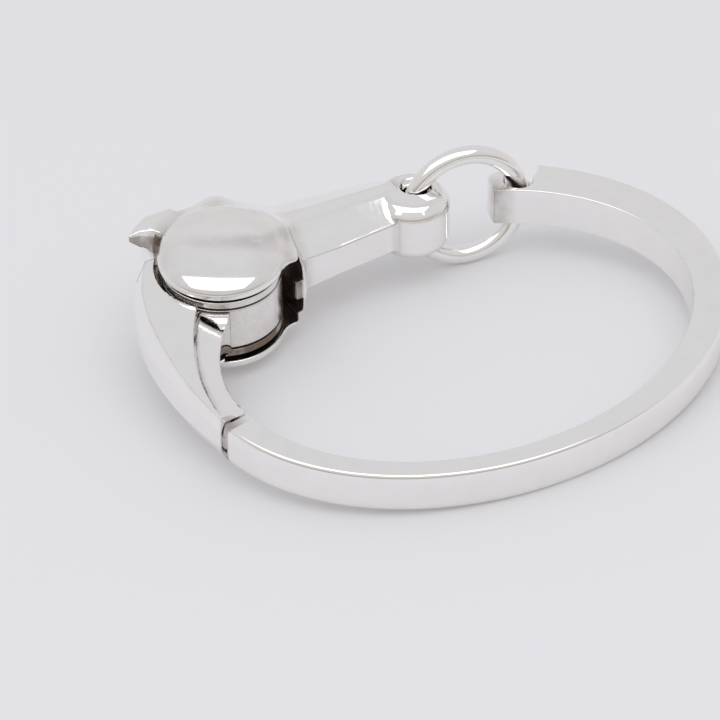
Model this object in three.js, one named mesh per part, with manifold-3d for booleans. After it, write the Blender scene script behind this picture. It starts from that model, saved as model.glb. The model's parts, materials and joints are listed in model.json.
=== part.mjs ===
// Bangle bracelet with a horse-head clasp: C bar, link ring, hollow head, drum and hinged neck.
// Everything is drawn in the bangle's own frame, in millimetres: X along the long axis of the
// oval, Y towards the head, Z up through the flat of the bar. The finished group is then tilted
// so that it stands on the link ring and the front of the bar, as it does on a table.
import * as THREE from 'three';
import { mergeVertices } from 'three/addons/utils/BufferGeometryUtils.js';
import Module from 'manifold-3d';

const wasm = await Module();
wasm.setup();

// ---- Driving dimensions -------------------------------------------------------------------
// Oval bar
const INNER_LONG = 61.6;          // inside length of the oval
const INNER_SHORT = 47.2;         // inside width of the oval
const BAR_HEIGHT = 5.46;
const BAR_WIDTH_MEAN = 4.45;
const BAR_WIDTH_SWING = 1.6;      // the bar is wide at the ring end and slim at the seam
const BAR_WIDEST_AT = 66;         // degrees round the oval
const BAR_BEVEL_IN = 0.55;
const BAR_BEVEL_DOWN = 1.37;
const BAR_EDGE = 0.15;            // fine chamfer of the inner edges
const BAR_STEPS = 76;
const SEAM_AT = 185;              // degrees round the oval
const EYE_AT = 409.5;
// Link ring
const RING_RADIUS = 7.46;         // centreline
const WIRE_RADIUS = 1.2;
const RING_TURN = -13;            // degrees from the long axis
const RING_LEAN = 6.2;            // degrees back from upright
const RING_STEPS = 52;
const WIRE_STEPS = 14;
// Band eye and muzzle eye
const EYE_WALL = 0.8;
const EYE_CLEARANCE = 0.24;
const EYE_FLARE = 0.1;            // how much wider the mouth of an eye is than the slanting wire
const EYE_FLARE_DEEP = 1;
const NOTCH_RADIUS = 3.95;        // of the round notch that lets the wire into the eye
const NOTCH_X = 0.2;              // centre of the notch from the axis of the eye
const NOTCH_Y = 2.9;
const BRIDGE_HALF = 0.6;          // half height of the thin bridge that closes the eye
const TONGUE_END = 415;           // degrees round the oval where the inner wall of the bar ends
const POST_RADIUS = 0.9;
const POST_REACH = 3.05;          // from the axis of the eye
const POST_TURN = 149.5;          // degrees
// Head
const CHEEK_X = -20.9;
const CHEEK_Y = 22.4;
const CHEEK_RADIUS = 7.9;
const CHEEK_RIM = 4.9;            // half the width of the head between the cheeks
const CHEEK_RISE = 3.1;
const CHEEK_SKIN = 0.85;
const CROWN_HALF = 5.6;
const CROWN_BEVEL = 0.9;
const JAW_HALF = 4.5;
const JAW_ROOM = 1.35;            // between the plates and the inner face of the jaw wall
const JAW_WALL = 1.4;
const JAW_END = 4.9;              // how far the jaw reaches towards the wrist
const TOOTH_HALF = 1.4;
const TOOTH_DEEP = 1.0;
const NOSE_WALL = 2.2;            // half height of the straight side of the nose
const NOSE_TOP = 4.4;
const NOSE_ROOF = 4.3;            // width of each sloping side of the nose
const MUZZLE_RADIUS = 4.9;
const MUZZLE_SHIFT = -0.4;         // of the knob from the axis of its eye
const MUZZLE_WALL = 3.2;
const MUZZLE_TOP = 4.2;
const MUZZLE_FLAT = 3.3;
// Drum, plates and rivet
const DRUM_RADIUS = 7.5;
const DRUM_HALF = 3.0;
const PLATE_RADIUS = 7.55;
const PLATE_THICK = 1.0;
const RIVET_RADIUS = 1.2;
const TONGUE_HALF = 1.3;
const TONGUE_WIDTH = 5.0;
// Neck
const NECK_TOP = 4.3;
const NECK_BEVEL = 1.1;
const NECK_WALL = 1.55;
const NECK_KEEL = 0.6;            // half height of the thin inner edge beside the drum
const NECK_TIP_X = -30.2;
const NECK_TIP_Y = 27.6;
const SLAB_ROOT = -33.7;
const SLAB_CURVE = 0.0225;
const SCOOP_GAP = 0.45;           // between the cheek and the scoop of the neck
// Seam hinge
const PIN_RADIUS = 0.45;
const PIN_INSET = 1.1;            // from the outer wall
const KNUCKLE_RADIUS = 1.05;
const KNUCKLE_HALF = 0.9;
const SEAM_GAP = 0.44;
// Shared clearances
const GAP = 0.3;
const SLIDE_GAP = 0.55;           // between the plates and the walls of the head
const ROUND_STEPS = 48;

// ---- Values that follow from them ---------------------------------------------------------
const A = INNER_LONG / 2;
const B = INNER_SHORT / 2;
const HALF = BAR_HEIGHT / 2;
const RAD = Math.PI / 180;
const CLASP_RADIUS = Math.max(DRUM_RADIUS, PLATE_RADIUS);
const CAVITY_RADIUS = CLASP_RADIUS + SLIDE_GAP;
const JAW_INSIDE = CLASP_RADIUS + JAW_ROOM;
const JAW_OUTSIDE = JAW_INSIDE + JAW_WALL;
const PLATE_LOW = DRUM_HALF + GAP;
const SCOOP_RADIUS = Math.max(CHEEK_RADIUS, CLASP_RADIUS) + SCOOP_GAP;

const steel = { color: 0xd9d9dc, roughness: 0.12, metalness: 1.0 };
const dull = { color: 0x9b9691, roughness: 0.4, metalness: 1.0 };

// ---- Helpers ------------------------------------------------------------------------------
const v3 = (x, y, z) => new THREE.Vector3(x, y, z);
const mix = THREE.MathUtils.lerp;

function toSolid(geometry) {
  const bare = geometry.clone();
  bare.deleteAttribute('normal');
  bare.deleteAttribute('uv');
  const welded = mergeVertices(bare, 1e-4);
  return new wasm.Manifold(new wasm.Mesh({
    numProp: 3,
    vertProperties: Float32Array.from(welded.attributes.position.array),
    triVerts: Uint32Array.from(welded.index.array),
  }));
}

function toGeometry(solid) {
  const mesh = solid.getMesh();
  const geometry = new THREE.BufferGeometry();
  geometry.setAttribute('position', new THREE.BufferAttribute(mesh.vertProperties, 3));
  geometry.setIndex(new THREE.BufferAttribute(mesh.triVerts, 1));
  const flat = geometry.toNonIndexed();
  flat.computeVertexNormals();
  return flat;
}

const add = (...solids) => solids.reduce((whole, piece) => whole.add(piece));
const cut = (whole, ...tools) => tools.reduce((rest, tool) => rest.subtract(tool), whole);

// A closed body through matching outlines; the last may join the first for a ring.
function loft(outlines, ring = false) {
  const count = outlines[0].length;
  const points = outlines.flat();
  const index = [];
  const rows = ring ? outlines.length : outlines.length - 1;
  for (let row = 0; row < rows; row++) {
    const next = (row + 1) % outlines.length;
    for (let i = 0; i < count; i++) {
      const j = (i + 1) % count;
      const corner = [row * count + i, row * count + j, next * count + j, next * count + i];
      index.push(corner[0], corner[1], corner[2], corner[0], corner[2], corner[3]);
    }
  }
  if (!ring) {
    const last = (outlines.length - 1) * count;
    for (let i = 1; i < count - 1; i++) {
      index.push(0, i + 1, i);
      index.push(last, last + i, last + i + 1);
    }
  }
  const geometry = new THREE.BufferGeometry();
  const flatPoints = points.flatMap((p) => [p.x, p.y, p.z]);
  let volume = 0;
  for (let t = 0; t < index.length; t += 3) {
    const [p, q, r] = [points[index[t]], points[index[t + 1]], points[index[t + 2]]];
    volume += p.dot(q.clone().cross(r));
  }
  geometry.setAttribute('position', new THREE.Float32BufferAttribute(flatPoints, 3));
  geometry.setIndex(volume < 0 ? index.reverse() : index);
  return toSolid(geometry);
}

// A body turned about a vertical axis at (x, y); profile is [radius, z] from axis to axis.
function turned(profile, x, y, steps = ROUND_STEPS) {
  const outline = profile.map(([r, z]) => new THREE.Vector2(r, z));
  const geometry = new THREE.LatheGeometry(outline, steps);
  geometry.rotateX(Math.PI / 2);
  geometry.translate(x, y, 0);
  const solid = toSolid(geometry);
  return solid;
}

function cylinder(x, y, radius, low, high, steps = ROUND_STEPS) {
  return turned([[0, low], [radius, low], [radius, high], [0, high]], x, y, steps);
}

function box(lowX, highX, lowY, highY, lowZ, highZ) {
  const geometry = new THREE.BoxGeometry(highX - lowX, highY - lowY, highZ - lowZ);
  geometry.translate((lowX + highX) / 2, (lowY + highY) / 2, (lowZ + highZ) / 2);
  return toSolid(geometry);
}

// A plan outline raised between two heights, with a bevel all round both faces.
function raised(corners, low, high, bevel = 0) {
  const shape = new THREE.Shape(corners.map(([x, y]) => new THREE.Vector2(x, y)));
  const geometry = new THREE.ExtrudeGeometry(shape, {
    depth: high - low - 2 * bevel,
    bevelEnabled: bevel > 0,
    bevelThickness: bevel,
    bevelSize: bevel,
    bevelOffset: -bevel,
    bevelSegments: 2,
  });
  geometry.translate(0, 0, low + bevel);
  return toSolid(geometry);
}

const mirrored = (solid) => solid.mirror([0, 0, 1]);
const bothSides = (solid) => add(solid, mirrored(solid));

// ---- Oval path ----------------------------------------------------------------------------
const onOval = (degrees) => v3(A * Math.cos(degrees * RAD), B * Math.sin(degrees * RAD), 0);

function outward(degrees) {
  return v3(Math.cos(degrees * RAD) / A, Math.sin(degrees * RAD) / B, 0).normalize();
}

const barWidth = (degrees) => (
  BAR_WIDTH_MEAN + BAR_WIDTH_SWING * Math.cos((degrees - BAR_WIDEST_AT) * RAD)
);

const barPoint = (degrees, out, z) => (
  onOval(degrees).addScaledVector(outward(degrees), out).setZ(z)
);

function barOutline(degrees) {
  const wide = barWidth(degrees);
  const half = [
    [0, HALF - BAR_EDGE], [BAR_EDGE, HALF], [wide - BAR_BEVEL_IN, HALF], [wide, HALF - BAR_BEVEL_DOWN],
  ];
  const below = half.slice().reverse().map(([out, z]) => [out, -z]);
  return [...half, ...below].map(([out, z]) => barPoint(degrees, out, z));
}

// ---- Ring place and eye axes --------------------------------------------------------------
const ringAlong = v3(Math.cos(RING_TURN * RAD), Math.sin(RING_TURN * RAD), 0);
const ringAcross = v3(-Math.sin(RING_TURN * RAD), Math.cos(RING_TURN * RAD), 0);
const ringUp = v3(0, 0, Math.cos(RING_LEAN * RAD)).addScaledVector(ringAcross, Math.sin(RING_LEAN * RAD));
// Half the bow of the wire inside an eye, and the hole that lets the leaning wire turn in it.
const bow = (half) => (RING_RADIUS - Math.sqrt(RING_RADIUS ** 2 - half ** 2)) / 2;
const eyeHole = (half) => (
  Math.hypot(bow(half), half * Math.tan(RING_LEAN * RAD)) + WIRE_RADIUS + EYE_CLEARANCE
);
// The wire crosses the mouth of an eye on a slant, so its level section is longer there.
const eyeMouth = (half) => (
  eyeHole(half) + WIRE_RADIUS * (1 / Math.sqrt(1 - (half / RING_RADIUS) ** 2) - 1) + EYE_FLARE
);
const EYE_HOLE = eyeHole(HALF);
const MUZZLE_HOLE = eyeHole(MUZZLE_TOP);
const bandEye = barPoint(EYE_AT, EYE_HOLE + EYE_WALL, 0);
const ringCentre = bandEye.clone().addScaledVector(ringAlong, bow(HALF) - RING_RADIUS);
const muzzleEye = ringCentre.clone().addScaledVector(ringAlong, bow(MUZZLE_TOP) - RING_RADIUS);

// ---- Band ---------------------------------------------------------------------------------
const seamWide = barWidth(SEAM_AT);
const seamMiddle = SEAM_AT - SEAM_GAP / 2 / B / RAD;
const neckStart = SEAM_AT - SEAM_GAP / B / RAD;
const pinAt = barPoint(seamMiddle, seamWide - PIN_INSET, 0);

function eyeBore(axis, hole, mouth, half) {
  const straight = half - EYE_FLARE_DEEP;
  return turned([
    [0, -half - 1], [mouth, -half - 1], [mouth, -half], [hole, -straight],
    [hole, straight], [mouth, half], [mouth, half + 1], [0, half + 1],
  ], axis.x, axis.y, 40);
}

function bandBar() {
  const outlines = [];
  for (let i = 0; i <= BAR_STEPS; i++) {
    outlines.push(barOutline(mix(SEAM_AT, EYE_AT, i / BAR_STEPS)));
  }
  const barrel = EYE_HOLE + EYE_WALL;
  const notch = wasm.Manifold.intersection(
    cylinder(bandEye.x + NOTCH_X, bandEye.y + NOTCH_Y, NOTCH_RADIUS, -9, 9, 60),
    box(bandEye.x - EYE_HOLE * 0.55, bandEye.x + 9, bandEye.y - 9, bandEye.y + 9, -9, 9),
  );
  const corner = barPoint(TONGUE_END, 0.35, 0);
  const post = bandEye.clone().add(
    v3(POST_REACH * Math.cos(POST_TURN * RAD), POST_REACH * Math.sin(POST_TURN * RAD), 0),
  );
  const eyeBlock = wasm.Manifold.hull([
    cylinder(bandEye.x, bandEye.y, barrel, -HALF, HALF, 40),
    cylinder(corner.x, corner.y, 0.35, -HALF, HALF, 16),
    cylinder(post.x, post.y, POST_RADIUS, -HALF, HALF, 24),
  ]);
  return cut(
    add(
      cut(add(loft(outlines), eyeBlock), notch),
      cylinder(bandEye.x, bandEye.y, barrel, -BRIDGE_HALF, BRIDGE_HALF, 40),
    ),
    eyeBore(bandEye, EYE_HOLE, eyeMouth(HALF), HALF),
    cylinder(pinAt.x, pinAt.y, KNUCKLE_RADIUS + GAP, -KNUCKLE_HALF - GAP, KNUCKLE_HALF + GAP, 32),
    cylinder(pinAt.x, pinAt.y, PIN_RADIUS + 0.2, -HALF + 0.3, HALF - 0.3, 24),
  );
}

// ---- Neck arm -----------------------------------------------------------------------------
function neckArm() {
  const start = barPoint(neckStart, barWidth(neckStart), 0);
  const tip = v3(NECK_TIP_X, NECK_TIP_Y, 0);
  const mane = new THREE.CubicBezierCurve3(
    start, start.clone().add(v3(-2.3, 9.5, 0)), tip.clone().add(v3(-5.8, -7.6, 0)), tip,
  );
  const innerStart = onOval(neckStart);
  const innerLimit = 16;
  const steps = 22;
  const outlines = [];
  for (let i = 0; i <= steps; i++) {
    const t = i / steps;
    const outer = mane.getPoint(t);
    const lift = (innerStart.y - start.y) * (1 - t);
    const settle = Math.min(1, t * 2.2);
    const y = outer.y + lift;
    const inX = -A * Math.sqrt(1 - (Math.min(y, innerLimit) / B) ** 2);
    const top = mix(HALF, NECK_TOP, Math.min(1, t * 1.6));
    const keel = mix(HALF - BAR_EDGE, NECK_KEEL, Math.min(1, t * 1.5));
    const bevelX = outer.x + mix(BAR_BEVEL_IN, NECK_BEVEL, settle);
    const slabX = Math.max(SLAB_ROOT + SLAB_CURVE * y * y * Math.sign(y), bevelX + 0.12);
    const wall = mix(HALF - BAR_BEVEL_DOWN, NECK_WALL, settle);
    const across = (x) => mix(y, outer.y, (x - inX) / (outer.x - inX));
    const half = [[inX, keel], [Math.min(slabX, inX - 0.2), top], [bevelX, top], [outer.x, wall]];
    const below = half.slice().reverse().map(([x, z]) => [x, -z]);
    outlines.push([...half, ...below].map(([x, z]) => v3(x, across(x), z)));
  }
  const seat = cylinder(CHEEK_X, CHEEK_Y, DRUM_RADIUS + GAP, -PLATE_LOW + 0.1, PLATE_LOW - 0.1);
  const scoop = cylinder(CHEEK_X, CHEEK_Y, SCOOP_RADIUS, PLATE_LOW - 0.15, 9);
  const tongue = box(
    CHEEK_X - SCOOP_RADIUS - 0.6, CHEEK_X + TONGUE_WIDTH / 2, CHEEK_Y - TONGUE_WIDTH / 2,
    CHEEK_Y + TONGUE_WIDTH / 2, -TONGUE_HALF, TONGUE_HALF,
  );
  const rivetHole = cylinder(CHEEK_X, CHEEK_Y, RIVET_RADIUS + GAP, -9, 9, 32);
  const knuckleLow = pinAt.clone();
  const knuckle = add(
    cylinder(knuckleLow.x, knuckleLow.y, KNUCKLE_RADIUS, -KNUCKLE_HALF, KNUCKLE_HALF, 32),
    box(pinAt.x - 0.85, pinAt.x + KNUCKLE_RADIUS, pinAt.y, pinAt.y + 1.2, -KNUCKLE_HALF, KNUCKLE_HALF),
  );
  return cut(
    add(cut(loft(outlines), seat, scoop, mirrored(scoop)), tongue, knuckle),
    rivetHole,
    cylinder(pinAt.x, pinAt.y, PIN_RADIUS + 0.2, -9, 9, 24),
  );
}

// ---- Drum, plates, rivet, pin -------------------------------------------------------------
function claspDrum() {
  const slot = TONGUE_HALF + GAP;
  const reach = TONGUE_WIDTH / 2 + GAP;
  return cut(
    cylinder(CHEEK_X, CHEEK_Y, DRUM_RADIUS, -DRUM_HALF, DRUM_HALF, 60),
    box(CHEEK_X - 12, CHEEK_X + reach, CHEEK_Y - reach, CHEEK_Y + reach, -slot, slot),
    cylinder(CHEEK_X, CHEEK_Y, RIVET_RADIUS + GAP, -9, 9, 32),
  );
}

function springPlate() {
  const low = PLATE_LOW;
  const high = low + PLATE_THICK;
  return cut(
    turned([
      [0, low], [PLATE_RADIUS - 0.1, low], [PLATE_RADIUS, low + 0.1],
      [PLATE_RADIUS, high - 0.1], [PLATE_RADIUS - 0.1, high], [0, high],
    ], CHEEK_X, CHEEK_Y, 60),
    cylinder(CHEEK_X, CHEEK_Y, RIVET_RADIUS + GAP, -9, 9, 32),
  );
}

const drumRivet = () => {
  const end = PLATE_LOW + PLATE_THICK;
  return cylinder(CHEEK_X, CHEEK_Y, RIVET_RADIUS, -end, end, 32);
};

const hingePin = () => cylinder(pinAt.x, pinAt.y, PIN_RADIUS, -HALF + 0.5, HALF - 0.5, 24);

// ---- Link ring ----------------------------------------------------------------------------
function linkRing() {
  const outlines = [];
  const normal = ringAlong.clone().cross(ringUp);
  for (let i = 0; i < RING_STEPS; i++) {
    const turn = 2 * Math.PI * i / RING_STEPS;
    const spoke = ringAlong.clone().multiplyScalar(Math.cos(turn)).addScaledVector(ringUp, Math.sin(turn));
    const centre = ringCentre.clone().addScaledVector(spoke, RING_RADIUS);
    const outline = [];
    for (let j = 0; j < WIRE_STEPS; j++) {
      const roll = 2 * Math.PI * j / WIRE_STEPS;
      outline.push(centre.clone()
        .addScaledVector(spoke, WIRE_RADIUS * Math.cos(roll))
        .addScaledVector(normal, WIRE_RADIUS * Math.sin(roll)));
    }
    outlines.push(outline);
  }
  return loft(outlines, true);
}

// ---- Head ---------------------------------------------------------------------------------
function domeProfile(radius, low, rim, rise) {
  const profile = [[0, low], [radius, low], [radius, rim]];
  const steps = 7;
  for (let i = 1; i < steps; i++) {
    const turn = i / steps * Math.PI / 2;
    profile.push([radius * Math.cos(turn) ** 0.8, rim + rise * Math.sin(turn)]);
  }
  profile.push([0, rim + rise]);
  return profile;
}

function noseSolid() {
  const backX = CHEEK_X + 5;
  const frontX = muzzleEye.x - 2.6;
  const steps = 6;
  const outlines = [];
  for (let i = 0; i <= steps; i++) {
    const t = i / steps;
    const x = mix(backX, frontX, t);
    const nearY = mix(CHEEK_Y - 2.8, CHEEK_Y - 1.8, t);
    const farY = mix(CHEEK_Y + 10.4, CHEEK_Y + 7.2, t);
    const swell = Math.max(0, 1 - t * 2.2);
    const wall = NOSE_WALL + 1.2 * swell;
    const top = NOSE_TOP + 1.6 * swell;
    const roof = NOSE_ROOF * (farY - nearY) / 10.6;
    const half = [[nearY, wall], [nearY + roof, top], [farY - roof, top], [farY, wall]];
    const below = half.slice().reverse().map(([y, z]) => [y, -z]);
    outlines.push([...half, ...below].map(([y, z]) => v3(x, y, z)));
  }
  return loft(outlines);
}

function headBody() {
  const cx = CHEEK_X;
  const cy = CHEEK_Y;
  const crown = [
    [cx - 3.6, cy + 7.2], [cx - 4.4, cy + 9.6], [cx - 2.8, cy + 11.2], [cx + 3.4, cy + 12.1],
    [cx + 5.8, cy + 11.2], [cx + 8.4, cy + 9], [cx + 9.8, cy + 7], [cx + 9.8, cy + 0.6],
    [cx + 6.5, cy + 0.6], [cx + 5, cy + 5], [cx, cy + 6.4],
  ].reverse();
  const jaw = [
    [cx + 6.4, cy + 4], [cx + 7.4, cy - JAW_END], [cx + JAW_OUTSIDE - 1, cy - JAW_END],
    [cx + JAW_OUTSIDE, cy - JAW_END + 1.9], [cx + JAW_OUTSIDE, cy + 4],
  ];
  const ear = [
    [cx - 7.6, cy + 10.5], [cx - 4.4, cy + 8.1], [cx - 1.4, cy + 7.2], [cx + 3, cy + 9],
    [cx + 2.4, cy + 11.9], [cx - 2.6, cy + 11.9],
  ];
  const muzzle = turned([
    [0, -MUZZLE_TOP], [MUZZLE_FLAT, -MUZZLE_TOP], [MUZZLE_RADIUS, -MUZZLE_WALL],
    [MUZZLE_RADIUS, MUZZLE_WALL], [MUZZLE_FLAT, MUZZLE_TOP], [0, MUZZLE_TOP],
  ], muzzleEye.x + MUZZLE_SHIFT, muzzleEye.y, 48);
  const dome = turned(domeProfile(CHEEK_RADIUS, CHEEK_RIM - 0.2, CHEEK_RIM + 0.35, CHEEK_RISE), cx, cy);
  const hollow = turned(
    domeProfile(CHEEK_RADIUS - CHEEK_SKIN, 0, CHEEK_RIM + 0.35, CHEEK_RISE - CHEEK_SKIN), cx, cy,
  );
  const whole = add(
    bothSides(dome),
    raised(crown, -CROWN_HALF, CROWN_HALF, CROWN_BEVEL),
    raised(jaw, -JAW_HALF, JAW_HALF, 0.3),
    raised(ear, CHEEK_RIM - 1.4, CHEEK_RIM + 0.5, 0.3),
    noseSolid(),
    muzzle,
  );
  const toothLow = cy - JAW_END + 0.1;
  const tooth = box(
    cx + CLASP_RADIUS + 0.35, cx + JAW_INSIDE + 0.3, toothLow, toothLow + TOOTH_DEEP,
    -TOOTH_HALF, TOOTH_HALF,
  );
  const hollowed = cut(
    whole,
    cylinder(cx, cy, CAVITY_RADIUS, -CHEEK_RIM, CHEEK_RIM, 60),
    box(cx - 12, cx + JAW_INSIDE, cy - 12, cy + 0.5, -CHEEK_RIM, CHEEK_RIM),
    bothSides(hollow),
    eyeBore(muzzleEye, MUZZLE_HOLE, eyeMouth(MUZZLE_TOP), MUZZLE_TOP),
  );
  return add(hollowed, tooth);
}

// ---- Assembly -----------------------------------------------------------------------------
const bangle = new THREE.Group();

function place(name, solid, finish) {
  const mesh = new THREE.Mesh(toGeometry(solid), new THREE.MeshStandardMaterial(finish));
  mesh.name = name;
  bangle.add(mesh);
}

place('band_bar', bandBar(), steel);
place('hinge_pin', hingePin(), dull);
place('neck_arm', neckArm(), steel);
place('clasp_drum', claspDrum(), steel);
place('spring_plate_upper', springPlate(), dull);
place('spring_plate_lower', mirrored(springPlate()), dull);
place('drum_rivet', drumRivet(), steel);
place('link_ring', linkRing(), steel);
place('head_body', headBody(), steel);

// Rest tilt: the bottom of the ring and the lower front edge of the bar touch the table.
const ringBottom = ringCentre.clone().addScaledVector(ringUp, -RING_RADIUS).add(v3(0, 0, -WIRE_RADIUS));
const frontAt = 270;
const frontEdge = barPoint(frontAt, barWidth(frontAt) - BAR_BEVEL_IN, -HALF);
const REST_TILT = Math.atan2(frontEdge.z - ringBottom.z, ringBottom.y - frontEdge.y);
bangle.rotation.x = REST_TILT;

const assembly = new THREE.Group();
assembly.name = 'bangle_bracelet';
assembly.add(bangle);
assembly.updateMatrixWorld(true);
const bounds = new THREE.Box3().setFromObject(assembly, true);
const middle = bounds.getCenter(v3(0, 0, 0));
bangle.position.set(-middle.x, -middle.y, -bounds.min.z);

export default assembly;
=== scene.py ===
"""Visual model of the bangle bracelet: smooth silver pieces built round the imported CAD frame."""

import json  # noqa: E402
import logging  # noqa: E402
import math  # noqa: E402
from dataclasses import dataclass, field  # noqa: E402
from enum import Enum  # noqa: E402
from typing import Callable, Sequence  # noqa: E402

import bmesh  # noqa: E402
import bpy  # noqa: E402
import numpy as np  # noqa: E402
from mathutils import Matrix, Vector  # noqa: E402


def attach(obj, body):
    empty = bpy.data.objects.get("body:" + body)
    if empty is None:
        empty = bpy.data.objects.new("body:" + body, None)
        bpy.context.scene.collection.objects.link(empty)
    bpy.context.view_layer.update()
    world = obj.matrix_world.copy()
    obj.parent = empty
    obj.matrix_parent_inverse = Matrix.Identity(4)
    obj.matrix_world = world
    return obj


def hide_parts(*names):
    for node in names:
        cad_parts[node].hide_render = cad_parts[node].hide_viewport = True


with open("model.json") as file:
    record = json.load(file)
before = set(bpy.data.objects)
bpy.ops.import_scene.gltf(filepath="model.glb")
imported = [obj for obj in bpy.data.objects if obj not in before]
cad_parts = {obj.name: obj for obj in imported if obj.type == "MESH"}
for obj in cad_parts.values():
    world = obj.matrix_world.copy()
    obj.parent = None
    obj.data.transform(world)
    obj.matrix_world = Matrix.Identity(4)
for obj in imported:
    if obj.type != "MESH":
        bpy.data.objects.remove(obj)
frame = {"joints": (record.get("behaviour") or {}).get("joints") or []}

LOG = logging.getLogger("bangle")
MM = 0.001
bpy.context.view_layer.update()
Array = np.ndarray
Socket = bpy.types.NodeSocket
Triple = tuple[float, float, float]
Outline = tuple[tuple[float, float], ...]


# ---------------------------------------------------------------------------------------------
# Names
# ---------------------------------------------------------------------------------------------
class Body(str, Enum):
    """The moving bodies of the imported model."""

    BAND = "band"
    NECK = "neck"
    RING = "ring"
    HEAD = "head"


class Slot(str, Enum):
    """The record's material slots."""

    POLISHED = "polished_silver"
    SATIN = "satin_silver"
    PLATE = "plate_silver"
    PIN = "steel_pin"


class Light(Enum):
    """What a studio lamp is for."""

    KEY = "key"
    FILL = "fill"


# ---------------------------------------------------------------------------------------------
# The bangle's own frame
# ---------------------------------------------------------------------------------------------
@dataclass(frozen=True)
class Oval:
    """The oval path of the bar, in millimetres and degrees, in the bangle's own frame."""

    half_long: float = 30.8
    half_short: float = 23.6
    height: float = 5.46
    width_mean: float = 4.45
    width_swing: float = 1.6
    widest_at: float = 66.0
    bevel_in: float = 0.55
    bevel_down: float = 1.37
    edge: float = 0.15
    seam_at: float = 185.0
    eye_at: float = 409.5
    seam_gap: float = 0.44
    pin_inset: float = 1.1

    def point(self, degrees: float) -> tuple[float, float]:
        """Point of the inner oval."""
        turn = math.radians(degrees)
        return self.half_long * math.cos(turn), self.half_short * math.sin(turn)

    def outward(self, degrees: float) -> tuple[float, float]:
        """Unit normal of the inner oval, away from the wrist.

        Args:
            degrees: Angle on the oval.

        Returns:
            The two parts of the normal.
        """
        turn = math.radians(degrees)
        x, y = math.cos(turn) / self.half_long, math.sin(turn) / self.half_short
        size = math.hypot(x, y)
        return x / size, y / size

    def out(self, degrees: float, distance: float) -> tuple[float, float]:
        """Point at a distance outside the inner oval."""
        (x, y), (nx, ny) = self.point(degrees), self.outward(degrees)
        return x + nx * distance, y + ny * distance

    def width(self, degrees: float) -> float:
        """Width of the bar at an angle."""
        turn = math.radians(degrees - self.widest_at)
        return self.width_mean + self.width_swing * math.cos(turn)


@dataclass(frozen=True)
class Placement:
    """Turns points of the bangle's own frame, in millimetres, into metres of the row frame."""

    matrix: Matrix

    @classmethod
    def from_record(cls, eye: tuple[float, float]) -> "Placement":
        """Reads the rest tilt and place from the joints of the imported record.

        Args:
            eye: Centre of the band eye in the bangle's own frame, in millimetres.

        Returns:
            The placement of the bangle on the table.
        """
        joints = {joint["name"]: joint for joint in frame["joints"]}
        up = Vector(joints["neck_hinge"]["axis"]).normalized()
        tilt = Matrix.Rotation(math.atan2(-up.y, up.z), 4, "X")
        pivot = Vector(joints["ring_swing"]["pos_m"])
        shift = pivot - tilt @ (Vector((eye[0], eye[1], 0.0)) * MM)
        return cls(Matrix.Translation(shift) @ tilt @ Matrix.Scale(MM, 4))

    def array(self, points: Array) -> Array:
        """Applies the placement to an N by 3 array of points."""
        whole = np.array(self.matrix)
        return points @ whole[:3, :3].T + whole[:3, 3]

    def turn(self, directions: Array) -> Array:
        """Turns an N by 3 array of unit directions."""
        return directions @ (np.array(self.matrix)[:3, :3] / MM).T

    def local(self, mesh: bpy.types.Mesh) -> Array:
        """Points of a mesh in the bangle's own frame.

        Args:
            mesh: A mesh in metres.

        Returns:
            Its points in millimetres.
        """
        flat = np.empty(len(mesh.vertices) * 3)
        mesh.vertices.foreach_get("co", flat)
        back = np.array(self.matrix.inverted())
        return flat.reshape(-1, 3) @ back[:3, :3].T + back[:3, 3]

    def vector(self, x: float, y: float, z: float) -> Vector:
        """Applies the placement to one point."""
        return self.matrix @ Vector((x, y, z))

    def direction(self, x: float, y: float, z: float) -> Vector:
        """Turns one direction."""
        return (self.matrix.to_3x3() @ Vector((x, y, z))).normalized()


@dataclass(frozen=True)
class RingPlan:
    """Where the link ring hangs, and the eyes that it hangs in."""

    oval: Oval
    radius: float = 7.46
    wire: float = 1.2
    turn: float = -13.0
    lean: float = 6.2
    clearance: float = 0.24
    eye_wall: float = 0.8
    muzzle_half: float = 4.2

    def bow(self, half: float) -> float:
        """Half the bow of the wire over a hole of this half length."""
        return (self.radius - math.sqrt(self.radius**2 - half**2)) / 2

    def hole(self, half: float) -> float:
        """Radius of a hole that lets the leaning wire turn in it."""
        slant = half * math.tan(math.radians(self.lean))
        return math.hypot(self.bow(half), slant) + self.wire + self.clearance

    @property
    def along(self) -> tuple[float, float]:
        """Unit direction of the ring's level diameter."""
        turn = math.radians(self.turn)
        return math.cos(turn), math.sin(turn)

    @property
    def band_eye(self) -> tuple[float, float]:
        """Axis of the eye at the end of the bar."""
        half = self.oval.height / 2
        return self.oval.out(self.oval.eye_at, self.hole(half) + self.eye_wall)

    @property
    def centre(self) -> tuple[float, float]:
        """Middle of the ring.

        Returns:
            Its place in plan.
        """
        reach = self.bow(self.oval.height / 2) - self.radius
        (x, y), (ax, ay) = self.band_eye, self.along
        return x + ax * reach, y + ay * reach

    @property
    def muzzle_eye(self) -> tuple[float, float]:
        """Axis of the eye in the muzzle.

        Returns:
            Its place in plan.
        """
        reach = self.bow(self.muzzle_half) - self.radius
        (x, y), (ax, ay) = self.centre, self.along
        return x + ax * reach, y + ay * reach


# ---------------------------------------------------------------------------------------------
# Mesh helpers
# ---------------------------------------------------------------------------------------------
def new_object(name: str, mesh: bpy.types.Mesh) -> bpy.types.Object:
    """Links a new object that holds the mesh.

    Args:
        name: Name of the piece.
        mesh: What it holds.

    Returns:
        The object.
    """
    thing = bpy.data.objects.new(name, mesh)
    bpy.context.scene.collection.objects.link(thing)
    return thing


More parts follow.
